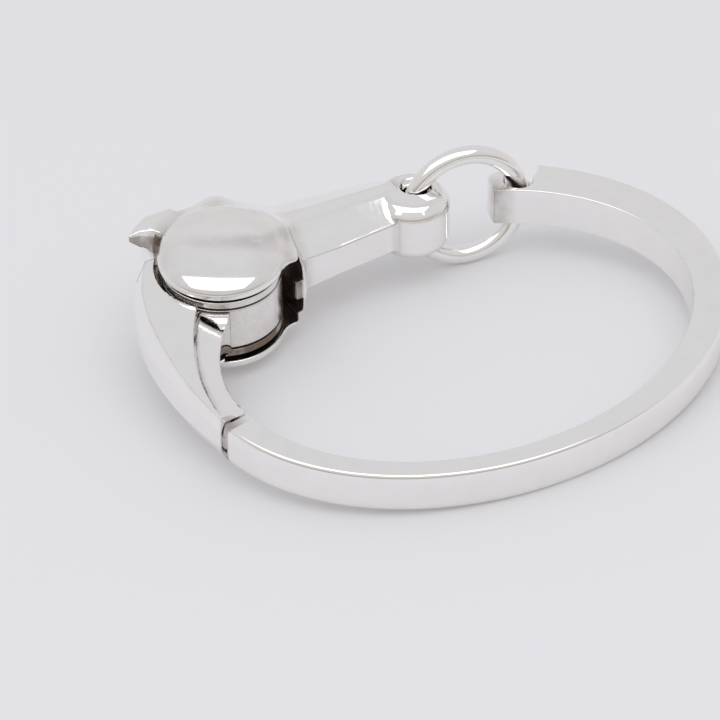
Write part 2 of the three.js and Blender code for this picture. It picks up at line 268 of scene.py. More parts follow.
def mesh_from(name: str, points: Array, faces: Sequence[Sequence[int]]) -> bpy.types.Mesh:
    """Makes a mesh from points in metres and faces, with its faces pointing outwards.

    Args:
        name: Name of the piece.
        points: Points in metres.
        faces: Point numbers of each face.

    Returns:
        The mesh.
    """
    mesh = bpy.data.meshes.new(name)
    mesh.from_pydata(points.tolist(), [], [list(f) for f in faces])
    mesh.validate()
    turn_outwards(mesh)
    return mesh


def turn_outwards(mesh: bpy.types.Mesh) -> None:
    """Recalculates the normals of a closed mesh.

    Args:
        mesh: A closed mesh.
    """
    work = bmesh.new()
    work.from_mesh(mesh)
    bmesh.ops.recalc_face_normals(work, faces=work.faces)
    work.to_mesh(mesh)
    work.free()


def smooth_by_angle(mesh: bpy.types.Mesh, degrees: float = 32.0) -> None:
    """Shades a mesh smooth and keeps its sharp edges.

    Args:
        mesh: The mesh.
        degrees: Edges sharper than this stay sharp.
    """
    mesh.polygons.foreach_set("use_smooth", [True] * len(mesh.polygons))
    mesh.set_sharp_from_angle(angle=math.radians(degrees))
    mesh.update()


def write_tarnish_and_shade(mesh: bpy.types.Mesh, values: Array) -> None:
    """Stores how dark each point of a piece is drawn, from 0 to 1: tarnishing, dark seams and painted
    shade in recesses and under parts.
    """
    layer = mesh.attributes.new("tarnish_and_shade", "FLOAT", "POINT")
    layer.data.foreach_set("value", np.asarray(values, np.float32))


def baked(thing: bpy.types.Object) -> bpy.types.Object:
    """Applies all modifiers of an object through its evaluated mesh.

    Args:
        thing: The piece.

    Returns:
        The same object, with no modifier left.
    """
    graph = bpy.context.evaluated_depsgraph_get()
    result = bpy.data.meshes.new_from_object(thing.evaluated_get(graph))
    thing.modifiers.clear()
    thing.data = result
    return thing


def lathe(
    name: str,
    place: Placement,
    centre: tuple[float, float],
    profile: Sequence[tuple[float, float]],
    steps: int = 128,
) -> bpy.types.Mesh:
    """Turns a profile about an upright axis.

    Args:
        name: Name of the mesh.
        place: Placement of the bangle.
        centre: Axis in plan, in millimetres.
        profile: Radius and height pairs, the first and last on the axis.
        steps: Number of steps round the axis.

    Returns:
        A closed mesh.
    """
    rows = profile[1:-1]
    angle = np.arange(steps) * 2 * math.pi / steps
    points = [
        np.stack([centre[0] + r * np.cos(angle), centre[1] + r * np.sin(angle), np.full(steps, z)], 1)
        for r, z in rows
    ]
    poles = np.array([[*centre, profile[0][1]], [*centre, profile[-1][1]]])
    verts = np.concatenate([*points, poles])
    low, high = len(rows) * steps, len(rows) * steps + 1
    faces: list[tuple[int, ...]] = []
    for j in range(steps):
        k = (j + 1) % steps
        faces.append((low, k, j))
        faces.append((high, (len(rows) - 1) * steps + j, (len(rows) - 1) * steps + k))
        for i in range(len(rows) - 1):
            a, b = i * steps, (i + 1) * steps
            faces.append((a + j, a + k, b + k, b + j))
    return mesh_from(name, place.array(verts), faces)


def rounded_disc(
    radius: float, low: float, high: float, edge: float, steps: int = 5
) -> list[tuple[float, float]]:
    """Profile of a disc with rounded rims, for a lathe.

    Args:
        radius: Radius of the disc.
        low: Height of its lower face.
        high: Height of its upper face.
        edge: Radius of the rims.
        steps: Steps round each rim.

    Returns:
        Radius and height pairs.
    """
    profile: list[tuple[float, float]] = [(0.0, low), (radius * 0.6, low)]
    for i in range(steps + 1):
        turn = i / steps * math.pi / 2
        profile.append((radius - edge + edge * math.sin(turn), low + edge - edge * math.cos(turn)))
    for i in range(steps + 1):
        turn = i / steps * math.pi / 2
        profile.append((radius - edge + edge * math.cos(turn), high - edge + edge * math.sin(turn)))
    profile += [(radius * 0.6, high), (0.0, high)]
    return profile


def round_outline(
    circles: Sequence[tuple[float, float, float]], left: float = -math.inf, steps: int = 48
) -> Array:
    """Convex outline round some circles in plan.

    Args:
        circles: Centre and radius of each circle, in millimetres.
        left: The outline is cut straight where it would pass to the left of this.
        steps: Number of points on each circle.

    Returns:
        The anticlockwise outline as an N by 2 array.
    """
    angle = [2 * math.pi * i / steps for i in range(steps)]
    points = sorted({
        (round(max(x + r * math.cos(a), left), 6), round(y + r * math.sin(a), 6))
        for x, y, r in circles for a in angle
    })

    def chain(row: Sequence[tuple[float, float]]) -> list[tuple[float, float]]:
        """One side of the outline.

        Args:
            row: Points in order along x.

        Returns:
            The corners of that side.
        """
        kept: list[tuple[float, float]] = []
        for q in row:
            while len(kept) > 1:
                (ax, ay), (bx, by) = kept[-2], kept[-1]
                if (bx - ax) * (q[1] - ay) - (by - ay) * (q[0] - ax) > 1e-9:
                    break
                kept.pop()
            kept.append(q)
        return kept[:-1]

    return np.array(chain(points) + chain(points[::-1]))


def prism(
    name: str, place: Placement, outline: Array, half: float, edge: float = 0.0
) -> bpy.types.Mesh:
    """Upright prism over an outline, with rounded rims.

    Args:
        name: Name of the mesh.
        place: Placement of the bangle.
        outline: Anticlockwise outline in plan, in millimetres.
        half: Half height.
        edge: Radius of the rims.

    Returns:
        A closed mesh.
    """
    sides = np.roll(outline, -1, axis=0) - outline
    sides /= np.linalg.norm(sides, axis=1)[:, None]
    out = np.stack([sides[:, 1], -sides[:, 0]], 1)
    out += np.roll(out, 1, axis=0)
    out /= np.linalg.norm(out, axis=1)[:, None]
    bends = [i * math.pi / 6 for i in range(4)] if edge else [math.pi / 2]
    rows = [(edge * (1 - math.sin(t)), edge * (1 - math.cos(t)) - half) for t in bends]
    rows += [(inset, -z) for inset, z in reversed(rows)]
    points = [
        np.column_stack([outline - out * inset, np.full(len(outline), z)]) for inset, z in rows
    ]
    count = len(outline)
    faces: list[tuple[int, ...]] = [tuple(reversed(range(count)))]
    faces.append(tuple(range((len(rows) - 1) * count, len(rows) * count)))
    for i in range(len(rows) - 1):
        for j in range(count):
            a, b = i * count + j, i * count + (j + 1) % count
            faces.append((a, b, b + count, a + count))
    return mesh_from(name, place.array(np.concatenate(points)), faces)


# ---------------------------------------------------------------------------------------------
# Smooth solids from distance fields
# ---------------------------------------------------------------------------------------------
def blend_min(a: Array, b: Array, k: float) -> Array:
    """Joins two fields with a fillet of about k."""
    h = np.clip(0.5 + 0.5 * (b - a) / k, 0.0, 1.0)
    return b * (1 - h) + a * h - k * h * (1 - h)


def blend_max(a: Array, b: Array, k: float) -> Array:
    """Keeps what two fields share, with an edge rounded to about k."""
    return -blend_min(-a, -b, k)


def all_of(k: float, *fields: Array) -> Array:
    """Keeps what all the fields share, with rounded edges.

    Args:
        k: Radius of the edges.
        fields: The fields.

    Returns:
        The shared field.
    """
    whole = fields[0]
    for part in fields[1:]:
        whole = blend_max(whole, part, k)
    return whole


def polygon_field(x: Array, y: Array, corners: Sequence[tuple[float, float]]) -> Array:
    """Signed distance to a plan polygon, negative inside.

    Args:
        x: Place along the oval, in millimetres.
        y: Place across the oval.
        corners: Corners of the polygon in order.

    Returns:
        The distance.
    """
    best = np.full(x.shape, 1e9)
    side = np.ones(x.shape)
    count = len(corners)
    for i in range(count):
        (ax, ay), (bx, by) = corners[i], corners[i - 1]
        ex, ey = bx - ax, by - ay
        wx, wy = x - ax, y - ay
        t = np.clip((wx * ex + wy * ey) / (ex * ex + ey * ey), 0, 1)
        best = np.minimum(best, (wx - ex * t) ** 2 + (wy - ey * t) ** 2)
        one, two, three = y >= ay, y < by, ex * wy > ey * wx
        flip = (one & two & three) | (~one & ~two & ~three)
        side = np.where(flip, -side, side)
    return side * np.sqrt(best)


def ellipse_field(radial: Array, up: Array, radius: float, rise: float) -> Array:
    """Approximate distance to an ellipse of revolution, negative inside.

    Args:
        radial: Distance from the axis.
        up: Height over the equator.
        radius: Radius at the equator.
        rise: Height of the pole.

    Returns:
        The distance.
    """
    g = np.sqrt((radial / radius) ** 2 + (up / rise) ** 2) + 1e-9
    slope = np.hypot(radial / radius**2, up / rise**2) / g + 1e-9
    return (g - 1) / slope


@dataclass
class FieldSolid:
    """A closed solid cut from a distance field on a grid, in the bangle's own frame."""

    name: str
    field: Callable[[Array, Array, Array], Array]
    low: Triple
    high: Triple
    step: float

    def value(self, points: Array) -> Array:
        """Field at an N by 3 array of points."""
        return self.field(points[:, 0], points[:, 1], points[:, 2])

    def slope(self, points: Array, size: float = 0.02) -> Array:
        """Gradient of the field by central differences.

        Args:
            points: Points as an N by 3 array.
            size: Step of the difference.

        Returns:
            Gradients as an N by 3 array.
        """
        result = np.empty_like(points)
        for axis in range(3):
            shift = np.zeros(3)
            shift[axis] = size
            result[:, axis] = self.value(points + shift) - self.value(points - shift)
        return result / (2 * size)

    def surface(self) -> tuple[Array, Array]:
        """Finds the surface as a net of quads whose points lie on it.

        Returns:
            Points in millimetres and quads as point numbers.
        """
        axes = [np.arange(lo, hi + self.step, self.step) for lo, hi in zip(self.low, self.high)]
        grid = np.stack(np.meshgrid(*axes, indexing="ij"), -1)
        values = self.field(grid[..., 0], grid[..., 1], grid[..., 2])
        inside = values < 0
        corners = [(i, j, k) for i in (0, 1) for j in (0, 1) for k in (0, 1)]
        shape = tuple(n - 1 for n in values.shape)

        def corner(data: Array, c: tuple[int, int, int]) -> Array:
            """Values of one corner of every cell.

            Args:
                data: Values at the grid points.
                c: Which corner.

            Returns:
                One value for each cell.
            """
            return data[c[0]:c[0] + shape[0], c[1]:c[1] + shape[1], c[2]:c[2] + shape[2]]

        held = sum(corner(inside, c).astype(np.int8) for c in corners)
        active = (held > 0) & (held < 8)
        cells = np.argwhere(active)
        number = np.full(shape, -1, np.int64)
        number[active] = np.arange(len(cells))
        total, hits = np.zeros((len(cells), 3)), np.zeros(len(cells))
        for a in corners:
            for axis in range(3):
                if a[axis]:
                    continue
                b = tuple(1 if i == axis else a[i] for i in range(3))
                va, vb = corner(values, a)[active], corner(values, b)[active]
                crossed = (va < 0) != (vb < 0)
                t = np.where(crossed, va / np.where(crossed, va - vb, 1.0), 0.0)
                spot = np.tile(np.array(a, float), (len(cells), 1))
                spot[:, axis] = t
                total[crossed] += spot[crossed]
                hits += crossed
        points = (cells + total / hits[:, None]) * self.step + np.array([a[0] for a in axes])
        for _ in range(4):
            slope = self.slope(points)
            size = np.maximum((slope**2).sum(1), 0.05)
            move = -slope * (self.value(points) / size)[:, None]
            points += np.clip(move, -self.step / 2, self.step / 2)
        return points, self.quads(inside, number)

    def quads(self, inside: Array, number: Array) -> Array:
        """Joins the four cells round every grid edge that crosses the surface.

        Args:
            inside: Which grid points are inside.
            number: Point number of each cell.

        Returns:
            Quads as point numbers.
        """
        found = []
        for axis in range(3):
            one, two = (axis + 1) % 3, (axis + 2) % 3
            near = np.take(inside, range(inside.shape[axis] - 1), axis)
            far = np.take(inside, range(1, inside.shape[axis]), axis)
            edges = np.argwhere(near != far)
            ok = (edges[:, one] > 0) & (edges[:, two] > 0)
            ok &= (edges[:, one] < number.shape[one]) & (edges[:, two] < number.shape[two])
            edges = edges[ok]
            out = near[tuple(edges.T)]
            ring = []
            for du, dv in ((1, 1), (0, 1), (0, 0), (1, 0)):
                cell = edges.copy()
                cell[:, one] -= du
                cell[:, two] -= dv
                ring.append(number[tuple(cell.T)])
            quad = np.stack(ring, 1)
            quad[~out] = quad[~out][:, ::-1]
            found.append(quad)
        return np.concatenate(found)

    def shadow(self, points: Array, normals: Array, reach: float = 1.6) -> Array:
        """How far each point lies in a recess, from 0 in the open to 1 deep inside.

        Args:
            points: Points as an N by 3 array.
            normals: Unit normals there.
            reach: How far to feel, in millimetres.

        Returns:
            One value for each point.
        """
        dark = np.zeros(len(points))
        for i in range(1, 5):
            step = reach * i / 4
            dark += np.clip(step - self.value(points + normals * step), 0, step) / step / 4
        return np.clip(dark, 0, 1)

    def build(self, place: Placement, darken: Callable[[Array], Array] | None = None) -> bpy.types.Mesh:
        """Makes the mesh with exact normals, and its darkening of tarnishing and painted shade in
        recesses.

        Args:
            place: Placement of the bangle.
            darken: Extra darkening at points in millimetres, painted shade and dark seams, or None.

        Returns:
            The finished mesh in metres.
        """
        points, quads = self.surface()
        slope = self.slope(points, 0.01)
        normals = slope / np.maximum(np.linalg.norm(slope, axis=1), 1e-9)[:, None]
        mesh = bpy.data.meshes.new(self.name)
        mesh.from_pydata(place.array(points).tolist(), [], quads.tolist())
        mesh.polygons.foreach_set("use_smooth", [True] * len(mesh.polygons))
        mesh.update()
        mesh.normals_split_custom_set_from_vertices(place.turn(normals).tolist())
        # Painted shade: points in recesses are darkened as though shaded, by feeling the field along
        # the normal.
        tarnish_and_shade = self.shadow(points, normals)
        if darken is not None:
            tarnish_and_shade = np.clip(tarnish_and_shade + darken(points), 0, 1)
        write_tarnish_and_shade(mesh, tarnish_and_shade)
        return mesh


# ---------------------------------------------------------------------------------------------
# Node trees
# ---------------------------------------------------------------------------------------------
@dataclass
class NodeWriter:
    """Writes a node tree node by node."""

    tree: bpy.types.NodeTree

    def node(self, kind: str, **settings: object) -> bpy.types.Node:
        """Adds a node.

        Args:
            kind: Type name of the node.
            settings: Properties to set on it.

        Returns:
            The node.
        """
        made = self.tree.nodes.new(kind)
        for key, value in settings.items():
            setattr(made, key, value)
        return made

    def join(self, source: Socket, target: Socket) -> None:
        """Links two sockets."""
        self.tree.links.new(source, target)

    def feed(self, target: Socket, value: object) -> None:
        """Links a socket, or writes a number, a vector or a colour.

        Args:
            target: Input socket.
            value: Output socket or plain value.
        """
        if isinstance(value, Socket):
            self.join(value, target)
        elif target.type == "RGBA":
            target.default_value = (*value, 1.0)
        else:
            target.default_value = value

    def maths(
        self, kind: str, first: object, second: object = 0.0, third: object = 0.0
    ) -> Socket:
        """Adds a maths node.

        Args:
            kind: Operation.
            first: First input, a socket or a number.
            second: Second input.
            third: Third input.

        Returns:
            Its value.
        """
        made = self.node("ShaderNodeMath", operation=kind)
        for socket, value in zip(made.inputs, (first, second, third)):
            self.feed(socket, value)
        return made.outputs[0]

    def span(self, value: Socket, source: tuple[float, float], target: tuple[float, float]) -> Socket:
        """Maps a value from one range to another.

        Args:
            value: The value.
            source: Ends of its range.
            target: Ends of the new range.

        Returns:
            The mapped value.
        """
        made = self.node("ShaderNodeMapRange")
        labels = ("From Min", "From Max", "To Min", "To Max")
        for label, number in zip(labels, (*source, *target)):
            made.inputs[label].default_value = number
        self.join(value, made.inputs["Value"])
        return made.outputs["Result"]

    def mix(self, factor: Socket, first: object, second: object) -> Socket:
        """Adds a colour mix.

        Args:
            factor: Share of the second colour.
            first: First colour, a socket or a triple.
            second: Second colour.

        Returns:
            The mixed colour.
        """
        made = self.node("ShaderNodeMix", data_type="RGBA")
        self.join(factor, made.inputs["Factor"])
        colours = [socket for socket in made.inputs if socket.type == "RGBA"]
        for socket, value in zip(colours, (first, second)):
            self.feed(socket, value)
        return next(socket for socket in made.outputs if socket.type == "RGBA")

    def ramp(self, value: Socket, stops: Sequence[tuple[float, Triple]]) -> Socket:
        """Adds a colour ramp.

        Args:
            value: Place on the ramp.
            stops: Place and colour of each stop, in order.

        Returns:
            The colour.
        """
        made = self.node("ShaderNodeValToRGB")
        elements = made.color_ramp.elements
        for element, (spot, tone) in zip(elements, (stops[0], stops[-1])):
            element.position, element.color = spot, (*tone, 1.0)
        for spot, tone in stops[1:-1]:
            elements.new(spot).color = (*tone, 1.0)
        self.join(value, made.inputs["Fac"])
        return made.outputs["Color"]


# ---------------------------------------------------------------------------------------------
# Finishes
# ---------------------------------------------------------------------------------------------
@dataclass(frozen=True)
class SilverFinish:
    """A silver surface: its metal, its polish, its scratches, and the tarnishing and painted shade of
    its recesses.
    """

    name: str
    metal: Triple
    # Dark brown drawn for tarnishing and for painted shade in recesses, gaps and undersides.
    tarnish_and_shade_colour: Triple = (0.16, 0.105, 0.07)
    smooth: float = 0.03
    rough: float = 0.09
    mottle: float = 420.0
    scratch_scale: Triple = (9000.0, 700.0, 700.0)
    scratch_turn: float = 0.6
    scratch_depth: float = 0.02
    haze: float = 0.035
    relief: float = 0.00005
    noise_range: tuple[float, float] = (0.32, 0.68)

    def material(self) -> bpy.types.Material:
        """Builds the node tree of the finish.

        Returns:
            The material.
        """
        made = bpy.data.materials.new(self.name)
        made.use_nodes = True
        g = NodeWriter(made.node_tree)
        shader = made.node_tree.nodes["Principled BSDF"].inputs
        shader["Metallic"].default_value = 1.0
        coords = g.node("ShaderNodeTexCoord").outputs["Object"]

        mottle = self.noise(g, coords, (1, 1, 1), self.mottle, 5.0)
        fine = self.noise(g, coords, (1, 1, 1), self.mottle * 9, 3.0)
        scratch = self.scratches(g, coords)
        # The point attribute holds tarnishing and painted shade; it darkens the colour and roughens the
        # polish.
        tarnish_and_shade = g.node("ShaderNodeAttribute", attribute_name="tarnish_and_shade").outputs["Fac"]
        tarnish_and_shade_share = g.maths("MULTIPLY", tarnish_and_shade, g.span(mottle, self.noise_range, (0.62, 1.38)))
        tarnish_and_shade_share.node.use_clamp = True

        # Painted shade: the colour turns dark brown where tarnishing and shade are drawn.
        tint = g.mix(tarnish_and_shade_share, self.metal, self.tarnish_and_shade_colour)
        dull = tuple(channel * 0.8 for channel in self.metal)
        clouds = g.span(mottle, self.noise_range, (0.0, self.haze * 4))
        g.join(g.mix(clouds, tint, dull), shader["Base Color"])

        polish = g.span(fine, self.noise_range, (self.smooth, self.rough))
        lined = g.maths("MULTIPLY_ADD", scratch, self.haze * 2, polish)
        g.join(g.maths("MULTIPLY_ADD", tarnish_and_shade_share, 0.35, lined), shader["Roughness"])

        bump = g.node("ShaderNodeBump")
        bump.inputs["Strength"].default_value = self.scratch_depth
        bump.inputs["Distance"].default_value = self.relief
        g.join(g.maths("MULTIPLY_ADD", fine, 0.35, scratch), bump.inputs["Height"])
        g.join(bump.outputs["Normal"], shader["Normal"])
        return made

    @staticmethod
    def noise(
        g: NodeWriter, coords: Socket, stretch: Triple, scale: float, detail: float, turn: float = 0.0
    ) -> Socket:
        """Adds a noise texture on mapped coordinates.

        Args:
            g: The tree.
            coords: Object coordinates.
            stretch: Scale of each axis.
            scale: Scale of the noise.
            detail: Octaves of the noise.
            turn: Turn of the pattern, in radians.

        Returns:
            The noise, from 0 to 1.
        """
        mapping = g.node("ShaderNodeMapping")
        mapping.inputs["Scale"].default_value = stretch
        mapping.inputs["Rotation"].default_value = (0.0, turn * 0.4, turn)
        noise = g.node("ShaderNodeTexNoise")
        noise.inputs["Scale"].default_value = scale
        noise.inputs["Detail"].default_value = detail
        g.join(coords, mapping.inputs["Vector"])
        g.join(mapping.outputs["Vector"], noise.inputs["Vector"])
        return noise.outputs["Fac"]

    def scratches(self, g: NodeWriter, coords: Socket) -> Socket:
        """Adds fine crossing scratches.

        Args:
            g: The tree.
            coords: Object coordinates.

        Returns:
            Their mask, from 0 to 1.
        """
        black, white = (0.0, 0.0, 0.0), (1.0, 1.0, 1.0)
        masks = []
        for turn in (self.scratch_turn, -self.scratch_turn):
            line = self.noise(g, coords, self.scratch_scale, 1.0, 2.0, turn)
            masks.append(g.ramp(line, ((0.58, black), (0.72, white))))
        return g.maths("MAXIMUM", *masks)


@dataclass
class Finishes:
    """The finishes of the bangle, made once."""

    polished: SilverFinish = SilverFinish("polished_silver", (0.95, 0.935, 0.92))
    satin: SilverFinish = SilverFinish(
        "satin_drum", (0.93, 0.905, 0.885), smooth=0.15, rough=0.2, scratch_turn=0.04,
        scratch_scale=(3800.0, 3800.0, 160.0), scratch_depth=0.22, haze=0.05,
    )
    plate: SilverFinish = SilverFinish(
        "rolled_plate", (0.9, 0.885, 0.865), smooth=0.06, rough=0.14, scratch_depth=0.04,
    )
    pin: SilverFinish = SilverFinish(
        "drawn_pin", (0.6, 0.59, 0.58), smooth=0.2, rough=0.32, scratch_depth=0.08,
    )
    made: dict[str, bpy.types.Material] = field(default_factory=dict)

    def get(self, finish: SilverFinish) -> bpy.types.Material:
        """Material of a finish.

        Args:
            finish: The finish.

        Returns:
            Its material, made at the first call.
        """
        if finish.name not in self.made:
            self.made[finish.name] = finish.material()
        return self.made[finish.name]


@dataclass
class Workshop:
    """What every sub-assembly needs: sizes, placement and finishes."""

    oval: Oval
    ring: RingPlan
    place: Placement
    finishes: Finishes

    def dress(
        self,
        thing: bpy.types.Object,
        body: Body,
        slot: Slot,
        finish: SilverFinish,
        nodes: Sequence[str],
    ) -> bpy.types.Object:
        """Gives a finished piece its material and body, and hides the CAD nodes it stands for.

        Args:
            thing: The piece.
            body: The body it rides on.
            slot: The record's material slot; not used.
            finish: Its finish.
            nodes: CAD nodes that it replaces.

        Returns:
            The same piece.
        """
        material = self.finishes.get(finish)
        thing.data.materials.clear()
        thing.data.materials.append(material)
        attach(thing, body.value)
        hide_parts(*nodes)
        LOG.info("%s: %d faces on %s", thing.name, len(thing.data.polygons), body.value)
        return thing


# ---------------------------------------------------------------------------------------------
# Geometry Nodes helpers
# ---------------------------------------------------------------------------------------------
@dataclass
class NodeGraph(NodeWriter):
    """A Geometry Nodes tree with named inputs."""

    tree: bpy.types.NodeTree = field(init=False)
    name: str
    inputs: dict[str, bpy.types.NodeTreeInterfaceSocket] = field(default_factory=dict)

    def __post_init__(self) -> None:
        """Starts the tree with its group input and output."""
        self.tree = bpy.data.node_groups.new(self.name, "GeometryNodeTree")
        for way in ("INPUT", "OUTPUT"):
            self.tree.interface.new_socket("Geometry", in_out=way, socket_type="NodeSocketGeometry")
        self.start = self.node("NodeGroupInput")
        self.end = self.node("NodeGroupOutput")

    def size(self, label: str, kind: str = "NodeSocketFloat") -> Socket:
        """Adds a named input of the tree and returns its socket."""
        self.inputs[label] = self.tree.interface.new_socket(label, in_out="INPUT", socket_type=kind)
        return self.start.outputs[label]

    def vector(self, x: object, y: object, z: object) -> Socket:
        """Combines three values into a vector.

        Args:
            x: First value, a socket or a number.
            y: Second value.
            z: Third value.

        Returns:
            The vector.
        """
        made = self.node("ShaderNodeCombineXYZ")
        for socket, value in zip(made.inputs, (x, y, z)):
            self.feed(socket, value)
        return made.outputs[0]

    def vector_maths(
        self, kind: str, first: Socket, second: Socket | None = None, scale: Socket | None = None
    ) -> Socket:
        """Adds a vector maths node.

        Args:
            kind: Operation.
            first: First vector.
            second: Second vector, where the operation has one.
            scale: Factor, where the operation has one.

        Returns:
            The resulting vector.
        """
        made = self.node("ShaderNodeVectorMath", operation=kind)
        for socket, value in ((0, first), (1, second), ("Scale", scale)):
            if value is not None:
                self.feed(made.inputs[socket], value)
        return made.outputs["Vector"]

    def capture(self, geometry: Socket, value: Socket, kind: str = "FLOAT") -> tuple[Socket, Socket]:
        """Captures a value on points.

        Args:
            geometry: The geometry.
            value: What is captured.
            kind: Type of the value.

        Returns:
            The geometry and the captured value.
        """
        made = self.node("GeometryNodeCaptureAttribute", domain="POINT")
        made.capture_items.new(kind, "value")
        self.join(geometry, made.inputs["Geometry"])
        self.join(value, made.inputs[1])
        return made.outputs["Geometry"], made.outputs[1]

    def finish(self, geometry: bpy.types.NodeSocket, material: bpy.types.Material) -> None:
        """Ends the tree in Realize Instances and Set Material.

        Args:
            geometry: The finished geometry.
            material: Its material.
        """
        realize = self.node("GeometryNodeRealizeInstances")
        paint = self.node("GeometryNodeSetMaterial")
        paint.inputs["Material"].default_value = material
        self.join(geometry, realize.inputs["Geometry"])
        self.join(realize.outputs["Geometry"], paint.inputs["Geometry"])
        self.join(paint.outputs["Geometry"], self.end.inputs["Geometry"])

    def run(self, name: str, values: dict[str, object]) -> bpy.types.Object:
        """Runs the tree on an empty mesh and returns the result as a plain object.

        Args:
            name: Name of the object.
            values: Value of each named input.

        Returns:
            The object, with no modifier left on it.
        """
        thing = new_object(name, bpy.data.meshes.new(name))
        modifier = thing.modifiers.new("build", "NODES")
        modifier.node_group = self.tree
        for label, value in values.items():
            modifier[self.inputs[label].identifier] = value
        return baked(thing)


# ---------------------------------------------------------------------------------------------
# Band
# ---------------------------------------------------------------------------------------------
@dataclass
class Band:
    """The C bar with its eye and the hinge ears at the seam."""

    shop: Workshop
    steps: int = 360
    corner_steps: int = 7
    knuckle: float = 1.05
    knuckle_half: float = 0.9
    gap: float = 0.3
    pin: float = 0.45
    notch: float = 3.95
    notch_off: tuple[float, float] = (0.2, 2.9)
    notch_left: float = 0.55
    tool_half: float = 9.0
    bridge_half: float = 0.6
    tongue_end: float = 415.0
    tongue_round: float = 0.35
    post: float = 0.9
    post_reach: float = 3.05
    post_turn: float = 149.5
    flare: float = 0.35

    @property
    def pin_at(self) -> tuple[float, float]:
        """Axis of the hinge pin in plan.

        Returns:
            Its place in plan.
        """
        oval = self.shop.oval
        middle = oval.seam_at - math.degrees(oval.seam_gap / 2 / oval.half_short)
        return oval.out(middle, oval.width(oval.seam_at) - oval.pin_inset)

    def sweep_tree(self) -> NodeGraph:
        """Tree that sweeps the rounded section of the bar along the oval.

        Returns:
            The tree, with a named input for each size.
        """
        g = NodeGraph("bar_sweep")
        half_long, half_short = g.size("Half long"), g.size("Half short")
        height, mean, swing = g.size("Height"), g.size("Mean width"), g.size("Width swing")
        widest, start, stop = g.size("Widest at"), g.size("Start"), g.size("Stop")
        bevel_in, bevel_down = g.size("Bevel in"), g.size("Bevel down")
        edge, count = g.size("Edge"), g.size("Count", "NodeSocketInt")
        corner_steps = g.size("Corner steps", "NodeSocketInt")

        line = g.node("GeometryNodeMeshLine")
        g.join(count, line.inputs["Count"])
        path = g.node("GeometryNodeMeshToCurve")
        g.join(line.outputs["Mesh"], path.inputs["Mesh"])
        index = g.node("GeometryNodeInputIndex").outputs[0]
        share = g.maths("DIVIDE", index, g.maths("SUBTRACT", count, 1.0))
        angle = g.maths("MULTIPLY_ADD", share, g.maths("SUBTRACT", stop, start), start)
        curve, angle = g.capture(path.outputs["Curve"], angle)
        cos, sin = g.maths("COSINE", angle), g.maths("SINE", angle)
        spot = g.vector(g.maths("MULTIPLY", cos, half_long), g.maths("MULTIPLY", sin, half_short), 0.0)
        laid = g.node("GeometryNodeSetPosition")
        g.join(curve, laid.inputs["Geometry"])
        g.join(spot, laid.inputs["Position"])

        square = g.node("GeometryNodeCurvePrimitiveQuadrilateral")
        square.inputs["Width"].default_value = 4.0
        square.inputs["Height"].default_value = 4.0
        place = g.node("GeometryNodeInputPosition").outputs[0]
        corners, corner = g.capture(square.outputs["Curve"], place, "VECTOR")
        fillet = g.node("GeometryNodeFilletCurve")
        for socket in fillet.inputs:
            if socket.type == "MENU":
                socket.default_value = "Poly"
        if hasattr(fillet, "mode"):
            fillet.mode = "POLY"
        fillet.inputs["Radius"].default_value = 1.0
        g.join(corners, fillet.inputs["Curve"])
        g.join(corner_steps, fillet.inputs["Count"])
        rounded, bend = g.capture(
            fillet.outputs["Curve"],
            g.vector_maths("SUBTRACT", g.node("GeometryNodeInputPosition").outputs[0], corner),
            "VECTOR",
        )

        sweep = g.node("GeometryNodeCurveToMesh")
        g.join(laid.outputs["Geometry"], sweep.inputs["Curve"])
        g.join(rounded, sweep.inputs["Profile Curve"])
        sweep.inputs["Fill Caps"].default_value = True

        split = g.node("ShaderNodeSeparateXYZ")
        g.join(corner, split.inputs[0])
        arc = g.node("ShaderNodeSeparateXYZ")
        g.join(bend, arc.inputs[0])
        outer = g.maths("GREATER_THAN", split.outputs[0], 0.0)
        side = g.maths("SIGN", split.outputs[1])
        width = g.maths(
            "MULTIPLY_ADD", swing, g.maths("COSINE", g.maths("SUBTRACT", angle, widest)), mean
        )
        into = g.maths("MULTIPLY_ADD", outer, g.maths("SUBTRACT", bevel_in, edge), edge)
        down = g.maths("MULTIPLY_ADD", outer, g.maths("SUBTRACT", bevel_down, edge), edge)
        out = g.maths("MULTIPLY_ADD", arc.outputs[0], into, g.maths("MULTIPLY", outer, width))
        level = g.maths("MULTIPLY", side, g.maths("MULTIPLY", height, 0.5))
        up = g.maths("MULTIPLY_ADD", arc.outputs[1], down, level)
        lean_x, lean_y = g.maths("DIVIDE", cos, half_long), g.maths("DIVIDE", sin, half_short)
        normal = g.vector_maths("NORMALIZE", g.vector(lean_x, lean_y, 0.0))
        final = g.vector_maths(
            "ADD",
            g.vector_maths("ADD", spot, g.vector_maths("SCALE", normal, scale=out)),
            g.vector(0.0, 0.0, up),
        )
        shaped = g.node("GeometryNodeSetPosition")
        g.join(sweep.outputs["Mesh"], shaped.inputs["Geometry"])
        g.join(final, shaped.inputs["Position"])
        g.finish(shaped.outputs["Geometry"], self.shop.finishes.get(self.shop.finishes.polished))
        return g

    def bar(self) -> bpy.types.Object:
        """The plain bar in metres, placed on the table.

        Returns:
            The bar as a plain object.
        """
        oval = self.shop.oval
        thing = self.sweep_tree().run("band_bar_silver", {
            "Half long": oval.half_long, "Half short": oval.half_short, "Height": oval.height,
            "Mean width": oval.width_mean, "Width swing": oval.width_swing,
            "Widest at": math.radians(oval.widest_at), "Start": math.radians(oval.seam_at),
            "Stop": math.radians(oval.eye_at), "Bevel in": oval.bevel_in,
            "Bevel down": oval.bevel_down, "Edge": oval.edge, "Count": self.steps,
            "Corner steps": self.corner_steps,
        })
        thing.data.transform(self.shop.place.matrix)
        turn_outwards(thing.data)
        return thing

